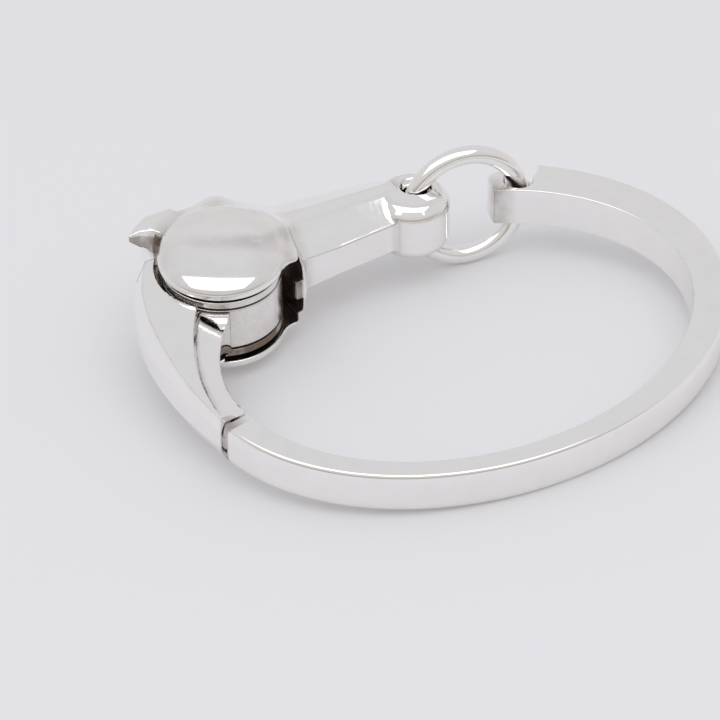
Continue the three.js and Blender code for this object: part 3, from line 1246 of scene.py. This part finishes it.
    def tool(
        self, centre: tuple[float, float], profile: Sequence[tuple[float, float]], steps: int
    ) -> bpy.types.Object:
        """A turned solid used to shape the bar.

        Args:
            centre: Axis in plan.
            profile: Radius and height pairs.
            steps: Steps round the axis.

        Returns:
            The tool.
        """
        return new_object("tool", lathe("tool", self.shop.place, centre, profile, steps))

    @property
    def corner(self) -> tuple[float, float]:
        """Where the inner wall of the bar ends beside the post."""
        return self.shop.oval.out(self.tongue_end, self.tongue_round)

    def eye_block(self) -> bpy.types.Object:
        """The rounded block at the end of the bar: barrel, post and the wall between them.

        Returns:
            The block.
        """
        oval, ring = self.shop.oval, self.shop.ring
        half = oval.height / 2
        (x, y), turn = ring.band_eye, math.radians(self.post_turn)
        outline = round_outline([
            (x, y, ring.hole(half) + ring.eye_wall),
            (*self.corner, self.tongue_round),
            (x + self.post_reach * math.cos(turn), y + self.post_reach * math.sin(turn), self.post),
        ], steps=96)
        return new_object("block", prism("block", self.shop.place, outline, half, oval.edge))

    def notch_tool(self) -> bpy.types.Object:
        """The round notch that lets the wire into the eye.

        Returns:
            The tool.
        """
        ring = self.shop.ring
        x, y = ring.band_eye
        left = x - ring.hole(self.shop.oval.height / 2) * self.notch_left
        circle = (x + self.notch_off[0], y + self.notch_off[1], self.notch)
        outline = round_outline([circle], left, 180)
        return new_object("notch", prism("notch", self.shop.place, outline, self.tool_half))

    @staticmethod
    def shape(thing: bpy.types.Object, tool: bpy.types.Object, operation: str) -> None:
        """Cuts or joins a tool and throws it away.

        Args:
            thing: What is shaped.
            tool: The tool.
            operation: DIFFERENCE or UNION.
        """
        modifier = thing.modifiers.new("shape", "BOOLEAN")
        modifier.operation = operation
        modifier.solver = "EXACT"
        modifier.object = tool
        baked(thing)
        bpy.data.objects.remove(tool)

    def build(self) -> None:
        """Builds and dresses the band and its pin."""
        shop, oval = self.shop, self.shop.oval
        half = oval.height / 2
        eye, hole = shop.ring.band_eye, shop.ring.hole(oval.height / 2)
        bridge = rounded_disc(hole + shop.ring.eye_wall, -self.bridge_half, self.bridge_half, 0.12, 3)
        thing = self.bar()
        self.shape(thing, self.eye_block(), "UNION")
        self.shape(thing, self.notch_tool(), "DIFFERENCE")
        self.shape(thing, self.tool(eye, bridge, 96), "UNION")
        flared = [
            (0.0, -half - 1), (hole + self.flare, -half - 1), (hole + self.flare, -half),
            (hole + 0.1, -half + 0.45), (hole, -half + 1), (hole, half - 1), (hole + 0.1, half - 0.45),
            (hole + self.flare, half), (hole + self.flare, half + 1), (0.0, half + 1),
        ]
        self.shape(thing, self.tool(eye, flared, 96), "DIFFERENCE")
        deep = self.knuckle_half + self.gap
        round_cut = self.knuckle + self.gap
        mortise = [(0.0, -deep), (round_cut, -deep), (round_cut, deep), (0.0, deep)]
        self.shape(thing, self.tool(self.pin_at, mortise, 64), "DIFFERENCE")
        smooth_by_angle(thing.data, 28.0)
        # Painted shade in the eye and its corner, and a dark seam at the hinge.
        self.painted_shade_and_seam(thing)
        shop.dress(thing, Body.BAND, Slot.POLISHED, shop.finishes.polished, ["band_bar"])

        pin = new_object("hinge_pin_wire", lathe(
            "hinge_pin_wire", shop.place, self.pin_at,
            rounded_disc(self.pin, -half + 0.5, half - 0.5, 0.1, 3), 48,
        ))
        smooth_by_angle(pin.data)
        write_tarnish_and_shade(pin.data, np.full(len(pin.data.vertices), 0.3))
        shop.dress(pin, Body.BAND, Slot.PIN, shop.finishes.pin, ["hinge_pin"])

    def painted_shade_and_seam(self, thing: bpy.types.Object) -> None:
        """Paints shade into the eye hole and the corner beside the post, and darkens the seam at the
        hinge.

        Args:
            thing: The bar.
        """
        points = self.shop.place.local(thing.data)
        eye, hole = self.shop.ring.band_eye, self.shop.ring.hole(self.shop.oval.height / 2)
        inner = np.hypot(points[:, 0] - eye[0], points[:, 1] - eye[1])
        seam = np.hypot(points[:, 0] - self.pin_at[0], points[:, 1] - self.pin_at[1])
        corner = np.hypot(points[:, 0] - self.corner[0], points[:, 1] - self.corner[1])
        # Painted shade in the eye hole and the corner beside the post; the seam ring is a dark joint.
        dark = 0.6 * np.clip(1 - (inner - hole) / 0.25, 0, 1)
        dark = np.maximum(dark, 0.45 * (corner < self.tongue_round + 0.05))
        dark = np.maximum(dark, 0.6 * np.clip(1 - (seam - self.knuckle - self.gap) / 0.15, 0, 1))
        write_tarnish_and_shade(thing.data, dark)


# ---------------------------------------------------------------------------------------------
# Link ring
# ---------------------------------------------------------------------------------------------
@dataclass
class LinkRing:
    """The round wire ring that joins the muzzle to the bar."""

    shop: Workshop
    steps: int = 192
    wire_steps: int = 40

    def build(self) -> None:
        """Builds the ring with Geometry Nodes and dresses it."""
        plan, finishes = self.shop.ring, self.shop.finishes
        g = NodeGraph("wire_ring")
        radius, wire = g.size("Radius"), g.size("Wire")
        steps, sides = g.size("Steps", "NodeSocketInt"), g.size("Sides", "NodeSocketInt")
        loop = g.node("GeometryNodeCurvePrimitiveCircle")
        g.join(steps, loop.inputs["Resolution"])
        g.join(radius, loop.inputs["Radius"])
        section = g.node("GeometryNodeCurvePrimitiveCircle")
        g.join(sides, section.inputs["Resolution"])
        g.join(wire, section.inputs["Radius"])
        sweep = g.node("GeometryNodeCurveToMesh")
        g.join(loop.outputs["Curve"], sweep.inputs["Curve"])
        g.join(section.outputs["Curve"], sweep.inputs["Profile Curve"])
        g.finish(sweep.outputs["Mesh"], finishes.get(finishes.polished))
        thing = g.run("link_ring_wire", {
            "Radius": plan.radius, "Wire": plan.wire, "Steps": self.steps, "Sides": self.wire_steps,
        })
        (ax, ay), lean = plan.along, math.radians(plan.lean)
        along = Vector((ax, ay, 0.0))
        upward = Vector((-ay * math.sin(lean), ax * math.sin(lean), math.cos(lean)))
        turn = Matrix((along, upward, along.cross(upward))).transposed().to_4x4()
        centre = Matrix.Translation(Vector((*plan.centre, 0.0)))
        thing.data.transform(self.shop.place.matrix @ centre @ turn)
        turn_outwards(thing.data)
        smooth_by_angle(thing.data, 60.0)
        write_tarnish_and_shade(thing.data, np.zeros(len(thing.data.vertices)))
        self.shop.dress(thing, Body.RING, Slot.POLISHED, finishes.polished, ["link_ring"])


# ---------------------------------------------------------------------------------------------
# Head
# ---------------------------------------------------------------------------------------------
@dataclass
class Head:
    """The hollow horse-head clasp: two domed cheeks, crown, ear, nose, muzzle and jaw."""

    shop: Workshop
    cx: float = -20.9
    cy: float = 22.4
    cheek: float = 7.9
    rim: float = 4.9
    rim_band: float = 0.45
    rise: float = 2.75
    skin: float = 0.75
    cavity: float = 8.1
    crown_top: float = 7.35
    under_trim: float = 0.9
    crown_plan: Outline = (
        (-3.6, 5.6), (-5.2, 8.9), (-5.0, 12.2), (-0.8, 12.6), (2.8, 12.3), (5.4, 12.6), (7.2, 11.4),
        (9.0, 9.8), (11.4, 8.0), (11.4, 2.6), (8.6, 0.6), (5.0, -1.0), (0.0, 2.0),
    )
    crown_reach: float = 12.0
    crown_fall: float = 2.75
    crown_curve: float = 2.2
    side_fall: tuple[float, float] = (0.075, 0.045)
    brow_spread: float = 3.6
    brow: float = 0.7
    brow_at: tuple[float, float] = (5.3, 11.4)
    ear_tip: float = -7.9
    ear_middle: float = 10.25
    ear_wide: float = 2.6
    ear_rise: float = 1.5
    ear_base: float = 4.2
    ear_low: float = 2.7
    ear_plan: Outline = (
        (-7.7, 10.3), (-6.2, 9.9), (-4.3, 8.6), (-1.4, 7.2), (-0.6, 7.6), (-0.8, 12.1), (-3.9, 12.3),
        (-6.4, 11.3),
    )
    nose_wall: float = 2.2
    nose_top: float = 4.4
    roof: float = 4.3
    roof_at: float = 10.6
    nose_back: float = 5.0
    nose_front: float = 2.0
    nose_near: float = 2.8
    nose_far: float = 10.4
    nose_taper: float = 3.2
    muzzle: float = 4.9
    muzzle_shift: float = -0.4
    muzzle_wall: float = 2.8
    muzzle_top: float = 4.2
    muzzle_flat: float = 3.6
    jaw_inside: float = 8.9
    jaw_outside: float = 10.3
    jaw_end: float = 4.9
    jaw_bulge: float = 2.6
    jaw_back: float = 4.0
    tooth_half: float = 1.4
    swing: int = 60
    bore_gap: float = 0.2
    step: float = 0.2

    def dome(self, radial: Array, az: Array, shrink: float) -> Array:
        """Field of one domed cheek, or of the hollow inside it.

        Args:
            radial: Distance from the middle of the cheek.
            az: Distance from the mid plane.
            shrink: Thickness taken off it.

        Returns:
            The field, negative inside.
        """
        base = self.rim + self.rim_band
        up = np.maximum(az - base, 0.0)
        return ellipse_field(radial, up, self.cheek - shrink, self.rise - shrink)

    def crown(self, x: Array, y: Array, az: Array) -> Array:
        """Field of the forehead and poll, which carries the dome on to the brow.

        Args:
            x: Place along the oval, in millimetres.
            y: Place across the oval.
            az: Distance from the mid plane.

        Returns:
            The field, negative inside.
        """
        u, v = x - self.cx, y - self.cy
        plan = polygon_field(u, v, self.crown_plan)
        far = np.clip(v / self.crown_reach, 0.0, 1.2)
        left = np.maximum(0.5 - u, 0.0)
        right = np.maximum(u - 3.0, 0.0)
        bx, by = self.brow_at
        brow = np.exp(-((u - bx) ** 2 + (v - by) ** 2) / self.brow_spread)
        fall_left, fall_right = self.side_fall
        top = self.crown_top - self.crown_fall * far**self.crown_curve
        top = top - fall_left * left**2 - fall_right * right**2
        return blend_max(plan, az - top - self.brow * brow, 0.9)

    def nose(self, x: Array, y: Array, az: Array) -> Array:
        """Field of the faceted nose bar.

        Args:
            x: Place along the oval, in millimetres.
            y: Place across the oval.
            az: Distance from the mid plane.

        Returns:
            The field, negative inside.
        """
        cx, cy = self.cx, self.cy
        back, front = cx + self.nose_back, self.shop.ring.muzzle_eye[0] - self.nose_front
        t = (x - back) / (front - back)
        near = cy - self.nose_near + t
        far = cy + self.nose_far - self.nose_taper * t
        swell = np.clip(1 - t * 2.0, 0.0, 1.0) ** 1.5
        wall = self.nose_wall + 1.0 * swell
        top = self.nose_top + 1.3 * swell
        roof = self.roof * (far - near) / self.roof_at
        size = np.hypot(roof, top - wall)
        near_roof = ((az - wall) * roof - (y - near) * (top - wall)) / size
        far_roof = ((az - wall) * roof - (far - y) * (top - wall)) / size
        return all_of(0.22, near - y, y - far, az - top, near_roof, far_roof, back - x, x - front)

    def knob(self, x: Array, y: Array, az: Array) -> Array:
        """Field of the muzzle.

        Args:
            x: Place along the oval, in millimetres.
            y: Place across the oval.
            az: Distance from the mid plane.

        Returns:
            The field, negative inside.
        """
        ex, ey = self.shop.ring.muzzle_eye
        radial = np.hypot(x - ex - self.muzzle_shift, y - ey)
        lift, width = self.muzzle_top - self.muzzle_wall, self.muzzle - self.muzzle_flat
        cone = (radial - self.muzzle) * lift + (az - self.muzzle_wall) * width
        cone = cone / math.hypot(lift, width)
        return all_of(0.5, radial - self.muzzle, az - self.muzzle_top, cone)

    def ear(self, x: Array, y: Array, z: Array) -> Array:
        """Field of the ear: half a pointed horn with a flat front face.

        Args:
            x: Place along the oval, in millimetres.
            y: Place across the oval.
            z: Height over the mid plane.

        Returns:
            The field, negative inside.
        """
        u, v = x - self.cx, y - self.cy
        along = np.clip(u - self.ear_tip, 0.0, 9.0)
        aside = np.abs(v - self.ear_middle - 0.03 * along)
        wide = np.minimum(0.5 + 0.62 * along, self.ear_wide)
        rise = np.minimum(0.45 + 0.34 * along, self.ear_rise)
        horn = ellipse_field(aside, np.maximum(z - self.ear_base, 0.0), wide, rise)
        plan = polygon_field(u, v, self.ear_plan)
        low = np.maximum(self.ear_base - 0.9 * along, self.ear_low)
        return all_of(0.16, plan, horn, low - z)

    def jaw(self, x: Array, y: Array, az: Array) -> Array:
        """Field of the jaw wall beside the drum, narrowing to the rim of each cheek.

        Args:
            x: Place along the oval, in millimetres.
            y: Place across the oval.
            az: Distance from the mid plane.

        Returns:
            The field, negative inside.
        """
        cx, cy = self.cx, self.cy
        bulge = np.clip(1 - (az / (self.rim + self.jaw_bulge)) ** 2, 0.0, 1.0)
        radial = np.hypot(x - cx, y - cy) - self.cheek - 0.2 - self.jaw_bulge * bulge
        end = cy - self.jaw_end - y
        side = x - cx - self.jaw_outside
        return all_of(
            0.45, radial, end, side, y - cy - self.jaw_back, cx + self.jaw_back - x, az - self.rim - 0.6
        )

    def bore(self, x: Array, y: Array, z: Array) -> Array:
        """Field of the room that the bowed wire takes in the muzzle as the head swings.

        Args:
            x: Place along the oval, in millimetres.
            y: Place across the oval.
            z: Height over the mid plane.

        Returns:
            The field, negative inside.
        """
        ring = self.shop.ring
        (ex, ey), (ax, ay) = ring.muzzle_eye, ring.along
        level = np.clip(z, -ring.muzzle_half, ring.muzzle_half)
        chord = np.sqrt(ring.radius**2 - level**2)
        ahead = ring.radius - chord - ring.bow(ring.muzzle_half)
        aside = level * math.tan(math.radians(ring.lean))
        wire = ring.wire * ring.radius / chord + self.bore_gap
        room = np.full(np.shape(x), np.inf)
        for degrees in range(0, self.swing + 1, 10):
            cos, sin = math.cos(math.radians(degrees)), math.sin(math.radians(degrees))
            dx, dy = ax * cos - ay * sin, ax * sin + ay * cos
            away = np.hypot(x - ex - ahead * dx + aside * dy, y - ey - ahead * dy - aside * dx)
            room = np.minimum(room, away - wire)
        return room

    def solid(self, x: Array, y: Array, z: Array) -> Array:
        """Field of the whole head.

        Args:
            x: Place along the oval, in millimetres.
            y: Place across the oval.
            z: Height over the mid plane.

        Returns:
            The field, negative inside.
        """
        az = np.abs(z)
        radial = np.hypot(x - self.cx, y - self.cy)
        whole = blend_max(self.dome(radial, az, 0.0), self.rim - 0.05 - az, 0.2)
        whole = blend_min(whole, self.jaw(x, y, az), 1.0)
        trimmed = y + self.under_trim * np.clip(-z / 2, 0, 1)
        whole = blend_min(whole, self.crown(x, trimmed, az), 3.0)
        whole = blend_min(whole, self.ear(x, y, z), 1.0)
        whole = blend_min(whole, self.nose(x, y, az), 1.2)
        whole = blend_min(whole, self.knob(x, y, az), 0.35)
        drum = blend_max(radial - self.cavity, az - self.rim, 0.1)
        mouth = all_of(
            0.1, x - self.cx - self.jaw_inside, self.cx - 12 - x, y - self.cy - 0.5, az - self.rim
        )
        hollow = self.dome(radial, az, self.skin)
        room = np.minimum(np.minimum(drum, mouth), hollow)
        whole = blend_max(whole, -room, 0.16)
        whole = blend_max(whole, -self.bore(x, y, z), 0.25)
        low = self.cy - self.jaw_end + 0.1
        tooth = all_of(
            0.15, self.cx + 7.9 - x, x - self.cx - self.jaw_inside - 0.3, low - y, y - low - 1.0,
            az - self.tooth_half,
        )
        return blend_min(whole, tooth, 0.12)

    def inside(self, points: Array) -> Array:
        """Extra painted shade of the hollow head: inside the cheeks, on the jaw walls and under the
        ear, lifted in the muzzle hole.

        Args:
            points: Points in millimetres.

        Returns:
            One value for each point.
        """
        radial = np.hypot(points[:, 0] - self.cx, points[:, 1] - self.cy)
        az = np.abs(points[:, 2])
        deep = (az < self.rim + 0.02) & (radial > self.cavity - 0.1) & (radial < 10.0)
        jaw = (points[:, 0] < self.cx + self.jaw_inside + 0.06) & (az < self.rim)
        under = self.dome(radial, az, self.skin) < 0.12
        x, y = points[:, 0] - self.cx, points[:, 1] - self.cy
        ear = (x < -1.5) & (y > 7.0) & (points[:, 2] > 2.4) & (points[:, 2] < 4.6) & (x + y < 5.0)
        ex, ey = self.shop.ring.muzzle_eye
        hole = np.hypot(points[:, 0] - ex, points[:, 1] - ey) < 2.2
        # Painted shade in the hollows and under the ear; the muzzle hole is drawn lighter.
        return 0.75 * ((deep & jaw) | under) + 0.45 * ear - 0.5 * hole

    def build(self) -> None:
        """Builds and dresses the head."""
        solid = FieldSolid(
            "head_silver", self.solid, (self.cx - 8.6, self.cy - 8.6, -8.8),
            (self.shop.ring.muzzle_eye[0] + 5.2, self.cy + 12.8, 8.8), self.step,
        )
        thing = new_object("head_silver", solid.build(self.shop.place, self.inside))
        finishes = self.shop.finishes
        self.shop.dress(thing, Body.HEAD, Slot.POLISHED, finishes.polished, ["head_body"])


# ---------------------------------------------------------------------------------------------
# Neck
# ---------------------------------------------------------------------------------------------
@dataclass
class Neck:
    """The curved neck arm with its drum, plates and rivet."""

    shop: Workshop
    pin_at: tuple[float, float]
    cx: float = -20.9
    cy: float = 22.4
    top: float = 4.3
    bevel: float = 1.1
    wall: float = 1.55
    keel: float = 2.25
    step_down: float = 0.95
    tip: tuple[float, float] = (-30.2, 27.6)
    slab_root: float = -33.7
    slab_curve: float = 0.0225
    scoop: float = 8.35
    seat: float = 7.8
    drum: float = 7.5
    drum_half: float = 3.0
    gap: float = 0.3
    plate: float = 7.55
    plate_thick: float = 1.0
    rivet: float = 1.2
    knuckle: float = 1.05
    knuckle_half: float = 0.9
    wrist_end: float = 16.0
    wrist_scale: float = 27.0
    collar_flare: float = 1.5
    tongue: tuple[float, float] = (2.4, 1.25)
    step: float = 0.2

    def mane(self) -> Array:
        """Points along the outer edge of the neck, seam to tip.

        Returns:
            Points in plan as an N by 2 array.
        """
        oval = self.shop.oval
        begin = oval.seam_at - math.degrees(oval.seam_gap / oval.half_short)
        start = np.array(oval.out(begin, oval.width(begin)))
        tip = np.array(self.tip)
        one, two = start + (-2.3, 9.5), tip + (-5.8, -7.6)
        t = np.linspace(0, 1, 400)[:, None]
        ends = (1 - t) ** 3 * start + t**3 * tip
        return ends + 3 * t * (1 - t) * ((1 - t) * one + t * two)

    def solid(self, x: Array, y: Array, z: Array) -> Array:
        """Field of the neck arm.

        Args:
            x: Place along the oval, in millimetres.
            y: Place across the oval.
            z: Height over the mid plane.

        Returns:
            The field, negative inside.
        """
        oval = self.shop.oval
        az = np.abs(z)
        mane = self.mane()
        begin = oval.seam_at - math.degrees(oval.seam_gap / oval.half_short)
        (px, py), (nx, ny) = oval.point(begin), oval.outward(begin)
        seam = (y - py) * nx - (x - px) * ny
        edge_x = np.interp(y, mane[:, 1], mane[:, 0])
        slope = np.interp(y, mane[:, 1], np.gradient(mane[:, 0], mane[:, 1]))
        outer = (edge_x - x) / np.sqrt(1 + slope**2)
        t = np.clip((y - mane[0, 1]) / (mane[-1, 1] - mane[0, 1]), 0, 1)
        height = oval.height / 2
        grown = np.clip(t * 2.2, 0, 1)
        top = height + (self.top - height) * np.clip(t * 1.6, 0, 1)
        wall = (height - oval.bevel_down) + (self.wall - height + oval.bevel_down) * grown
        wide = oval.bevel_in + (self.bevel - oval.bevel_in) * grown
        size = np.hypot(wide, top - wall)
        bevel = ((az - wall) * wide + outer * (top - wall)) / size
        across = (np.minimum(y, self.wrist_end) / oval.half_short) ** 2
        inner = (1 - np.sqrt((x / oval.half_long) ** 2 + across)) * self.wrist_scale
        in_x = -oval.half_long * np.sqrt(np.clip(1 - across, 0.05, 1))
        slab_x = self.slab_root + self.slab_curve * y * np.abs(y)
        slab_x = np.clip(slab_x, edge_x + wide + 0.1, in_x - 0.25)
        drop = np.clip((y + 1.0) / 9.0, 0, 1)
        slab = blend_max(az - top, (x - slab_x) * 0.92 + (az - top) * 0.38, 0.12)
        near, far = top - self.step_down * drop, height - oval.edge - (height - self.keel) * drop
        run = np.maximum(in_x - slab_x, 0.4)
        facet = az - near + (near - far) * np.clip((x - slab_x) / run, -0.2, 1.3)
        radial = np.hypot(x - self.cx, y - self.cy)
        rising = np.clip((self.drum_half + 0.1 - az) / (self.drum_half + 0.1 - self.keel), 0, 1)
        flare = radial - self.scoop - 0.1 - self.collar_flare * rising**2
        collar = blend_max(flare, az - self.drum_half - 0.1, 0.1)
        body = np.minimum(np.minimum(slab, facet), collar)
        body = all_of(0.14, outer, bevel, body, inner, seam, y - self.tip[1] - 0.2)
        low = self.drum_half + self.gap - 0.15
        body = blend_max(body, self.seat - radial, 0.1)
        body = blend_max(body, -all_of(0.2, radial - self.scoop, low - az), 0.15)
        pivot = np.hypot(x - self.pin_at[0], y - self.pin_at[1])
        knuckle = all_of(0.08, pivot - self.knuckle, az - self.knuckle_half)
        block = all_of(
            0.08, self.pin_at[0] - 0.8 - x, x - self.pin_at[0] - self.knuckle, self.pin_at[1] - y,
            y - self.pin_at[1] - 1.2, az - self.knuckle_half,
        )
        tongue = all_of(
            0.1, self.cx - self.scoop - 0.4 - x, x - self.cx + 2.0,
            np.abs(y - self.cy) - self.tongue[0], az - self.tongue[1],
        )
        return np.minimum(np.minimum(body, np.minimum(knuckle, block)), tongue)

    def painted_shade_and_seam(self, points: Array) -> Array:
        """Extra painted shade in the scoop round the drum, and a dark seam at the hinge.

        Args:
            points: Points in millimetres.

        Returns:
            One value for each point.
        """
        radial = np.hypot(points[:, 0] - self.cx, points[:, 1] - self.cy)
        seam = np.hypot(points[:, 0] - self.pin_at[0], points[:, 1] - self.pin_at[1])
        # Painted shade in the scoop round the drum; the ring at the seam is a dark joint.
        return 0.45 * (radial < self.scoop - 0.12) + 0.4 * (seam < self.knuckle + 0.05)

    def turned(
        self, name: str, profile: Sequence[tuple[float, float]], dark: Callable[[Array], Array]
    ) -> bpy.types.Object:
        """A turned piece on the drum's axis with its darkening of tarnishing and painted shade.

        Args:
            name: Name of the piece.
            profile: Radius and height pairs.
            dark: Gives the darkening at points, painted shade included.

        Returns:
            The piece.
        """
        mesh = lathe(name, self.shop.place, (self.cx, self.cy), profile, 160)
        smooth_by_angle(mesh, 40.0)
        write_tarnish_and_shade(mesh, dark(self.shop.place.local(mesh)))
        return new_object(name, mesh)

    def build(self) -> None:
        """Builds and dresses the neck and all that it carries."""
        shop, finishes = self.shop, self.shop.finishes
        solid = FieldSolid(
            "neck_silver", self.solid, (self.tip[0] - 6.4, self.pin_at[1] - 1.6, -4.8),
            (self.cx + 1.0, self.tip[1] + 0.8, 4.8), self.step,
        )
        arm = new_object("neck_silver", solid.build(shop.place, self.painted_shade_and_seam))
        shop.dress(arm, Body.NECK, Slot.POLISHED, finishes.polished, ["neck_arm"])

        # Painted shade: the drum turns darker towards its rims, where the plates overhang it.
        drum = self.turned(
            "clasp_drum_satin", rounded_disc(self.drum, -self.drum_half, self.drum_half, 0.18),
            lambda p: np.clip((np.abs(p[:, 2]) - 2.75) * 2.0, 0, 0.6),
        )
        shop.dress(drum, Body.NECK, Slot.SATIN, finishes.satin, ["clasp_drum"])
        low = self.drum_half + self.gap
        high = low + self.plate_thick
        # Painted shade: the lower plate, under the clasp, is drawn almost fully dark; the upper one
        # only a little.
        for name, node, a, b in (
            ("spring_plate_top", "spring_plate_upper", low, high),
            ("spring_plate_base", "spring_plate_lower", -high, -low),
        ):
            plate = self.turned(
                name, rounded_disc(self.plate, a, b, 0.2),
                lambda p: np.where(p[:, 2] < 0, 0.95, 0.12),
            )
            shop.dress(plate, Body.NECK, Slot.PLATE, finishes.plate, [node])
        rivet = self.turned(
            "drum_rivet_flush", rounded_disc(self.rivet, -high, high, 0.1, 3),
            lambda p: np.full(len(p), 0.3),
        )
        shop.dress(rivet, Body.NECK, Slot.POLISHED, finishes.polished, ["drum_rivet"])


# ---------------------------------------------------------------------------------------------
# Studio
# ---------------------------------------------------------------------------------------------
@dataclass(frozen=True)
class Lamp:
    """One soft studio lamp aimed at the bangle, in metres, degrees and watts."""

    kind: Light
    azimuth: float
    elevation: float
    distance: float
    size: tuple[float, float]
    power: float
    colour: Triple = (1.0, 1.0, 1.0)
    mirrored: bool = True


@dataclass
class Studio:
    """The table, the lights and the camera."""

    place: Placement
    distance: float = 0.40087
    elevation: float = 40.86
    heading: float = 30.5
    aim: Triple = (-12.758, 2.339, 0.0)
    roll: float = -0.1
    lens: float = 164.36
    floor_colour: Triple = (0.59, 0.6, 0.63)
    # Painted light: the floor glows a little, warm, to lift and warm the shadows as light thrown back
    # by the silver would.
    floor_glow: Triple = (1.0, 0.93, 0.87)
    floor_glow_strength: float = 0.16
    dark_side: Triple = (-0.466, -0.885, 0.0)
    bright_sky: tuple[tuple[float, Triple], ...] = (
        (0.0, (0.73, 0.72, 0.73)), (0.3, (0.70, 0.69, 0.69)), (0.75, (0.70, 0.70, 0.72)),
    )
    dark_sky: tuple[tuple[float, Triple], ...] = (
        (0.0, (0.36, 0.31, 0.26)), (0.12, (0.47, 0.43, 0.38)), (0.3, (0.66, 0.65, 0.63)),
        (0.75, (0.70, 0.70, 0.72)),
    )
    lamps: tuple[Lamp, ...] = (
        Lamp(Light.KEY, -35.0, 68.0, 0.9, (1.4, 0.7), 3.2),
        Lamp(Light.FILL, 185.0, 80.0, 1.2, (2.0, 1.6), 1.8, (0.92, 0.96, 1.0), mirrored=False),
    )

    def camera(self) -> None:
        """Places the camera."""
        data = bpy.data.cameras.new("camera")
        data.lens, data.sensor_width = self.lens, 36.0
        data.dof.use_dof = False
        data.clip_start, data.clip_end = 0.01, 10.0
        thing = bpy.data.objects.new("camera", data)
        bpy.context.scene.collection.objects.link(thing)
        level, turn = math.radians(self.elevation), math.radians(self.heading)
        back = Vector((
            -math.cos(level) * math.sin(turn), -math.cos(level) * math.cos(turn), math.sin(level)
        ))
        right = Vector((math.cos(turn), -math.sin(turn), 0.0))
        up = back.cross(right)
        basis = Matrix((
            self.place.direction(*right), self.place.direction(*up), self.place.direction(*back)
        )).transposed()
        spin = Matrix.Rotation(math.radians(self.roll), 3, "Z")
        thing.matrix_world = Matrix.Translation(
            self.place.vector(*self.aim) + self.place.direction(*back) * self.distance
        ) @ (basis @ spin).to_4x4()
        bpy.context.scene.camera = thing

    def floor(self) -> None:
        """Lays the plain pale table."""
        half = 3.0
        corners = np.array([(x * half, y * half, 0.0) for x, y in ((-1, -1), (1, -1), (1, 1), (-1, 1))])
        mesh = mesh_from("table", corners, [(0, 1, 2, 3)])
        table = new_object("table", mesh)
        made = bpy.data.materials.new("table_white")
        made.use_nodes = True
        shader = made.node_tree.nodes["Principled BSDF"]
        shader.inputs["Base Color"].default_value = (*self.floor_colour, 1.0)
        shader.inputs["Roughness"].default_value = 0.7
        shader.inputs["Specular IOR Level"].default_value = 0.2
        # Painted light: a faint warm glow lifts and warms the shadows on the table.
        shader.inputs["Emission Color"].default_value = (*self.floor_glow, 1.0)
        shader.inputs["Emission Strength"].default_value = self.floor_glow_strength
        mesh.materials.append(made)

    def world(self) -> None:
        """Lights the room softly, brighter overhead than at the horizon."""
        world = bpy.data.worlds.new("room")
        bpy.context.scene.world = world
        world.use_nodes = True
        g = NodeWriter(world.node_tree)
        away = g.node("ShaderNodeTexCoord").outputs["Generated"]
        split = g.node("ShaderNodeSeparateXYZ")
        g.join(away, split.inputs[0])
        towards = g.node("ShaderNodeVectorMath", operation="DOT_PRODUCT")
        g.join(away, towards.inputs[0])
        towards.inputs[1].default_value = self.dark_side
        share = g.span(towards.outputs["Value"], (-0.1, 0.7), (0.0, 1.0))
        share.node.interpolation_type = "SMOOTHSTEP"
        height = split.outputs["Z"]
        colour = g.mix(share, g.ramp(height, self.bright_sky), g.ramp(height, self.dark_sky))
        background = world.node_tree.nodes["Background"].inputs
        g.join(colour, background["Color"])
        background["Strength"].default_value = 1.0

    def light(self, lamp: Lamp) -> None:
        """Adds one lamp.

        Args:
            lamp: The lamp.
        """
        data = bpy.data.lights.new(lamp.kind.value, "AREA")
        data.shape = "RECTANGLE"
        data.size, data.size_y = lamp.size
        data.energy = lamp.power
        data.color = lamp.colour
        thing = bpy.data.objects.new(lamp.kind.value, data)
        bpy.context.scene.collection.objects.link(thing)
        level, turn = math.radians(lamp.elevation), math.radians(lamp.azimuth)
        away = Vector((
            math.sin(turn) * math.cos(level), -math.cos(turn) * math.cos(level), math.sin(level)
        ))
        thing.location = away * lamp.distance
        thing.rotation_mode = "QUATERNION"
        thing.rotation_quaternion = away.to_track_quat("Z", "Y")
        thing.visible_glossy = lamp.mirrored

    def build(self) -> None:
        """Sets up the whole studio."""
        self.camera()
        self.floor()
        self.world()
        for lamp in self.lamps:
            self.light(lamp)
        bpy.context.scene.view_settings.view_transform = "Standard"


def main() -> None:
    """Builds the bangle and its studio in order."""
    logging.basicConfig(level=logging.INFO, format="%(name)s: %(message)s")
    oval = Oval()
    ring = RingPlan(oval)
    place = Placement.from_record(ring.band_eye)
    shop = Workshop(oval, ring, place, Finishes())
    Studio(place).build()
    band = Band(shop)
    band.build()
    LinkRing(shop).build()
    Head(shop).build()
    Neck(shop, band.pin_at).build()


if __name__ == "__main__":
    main()
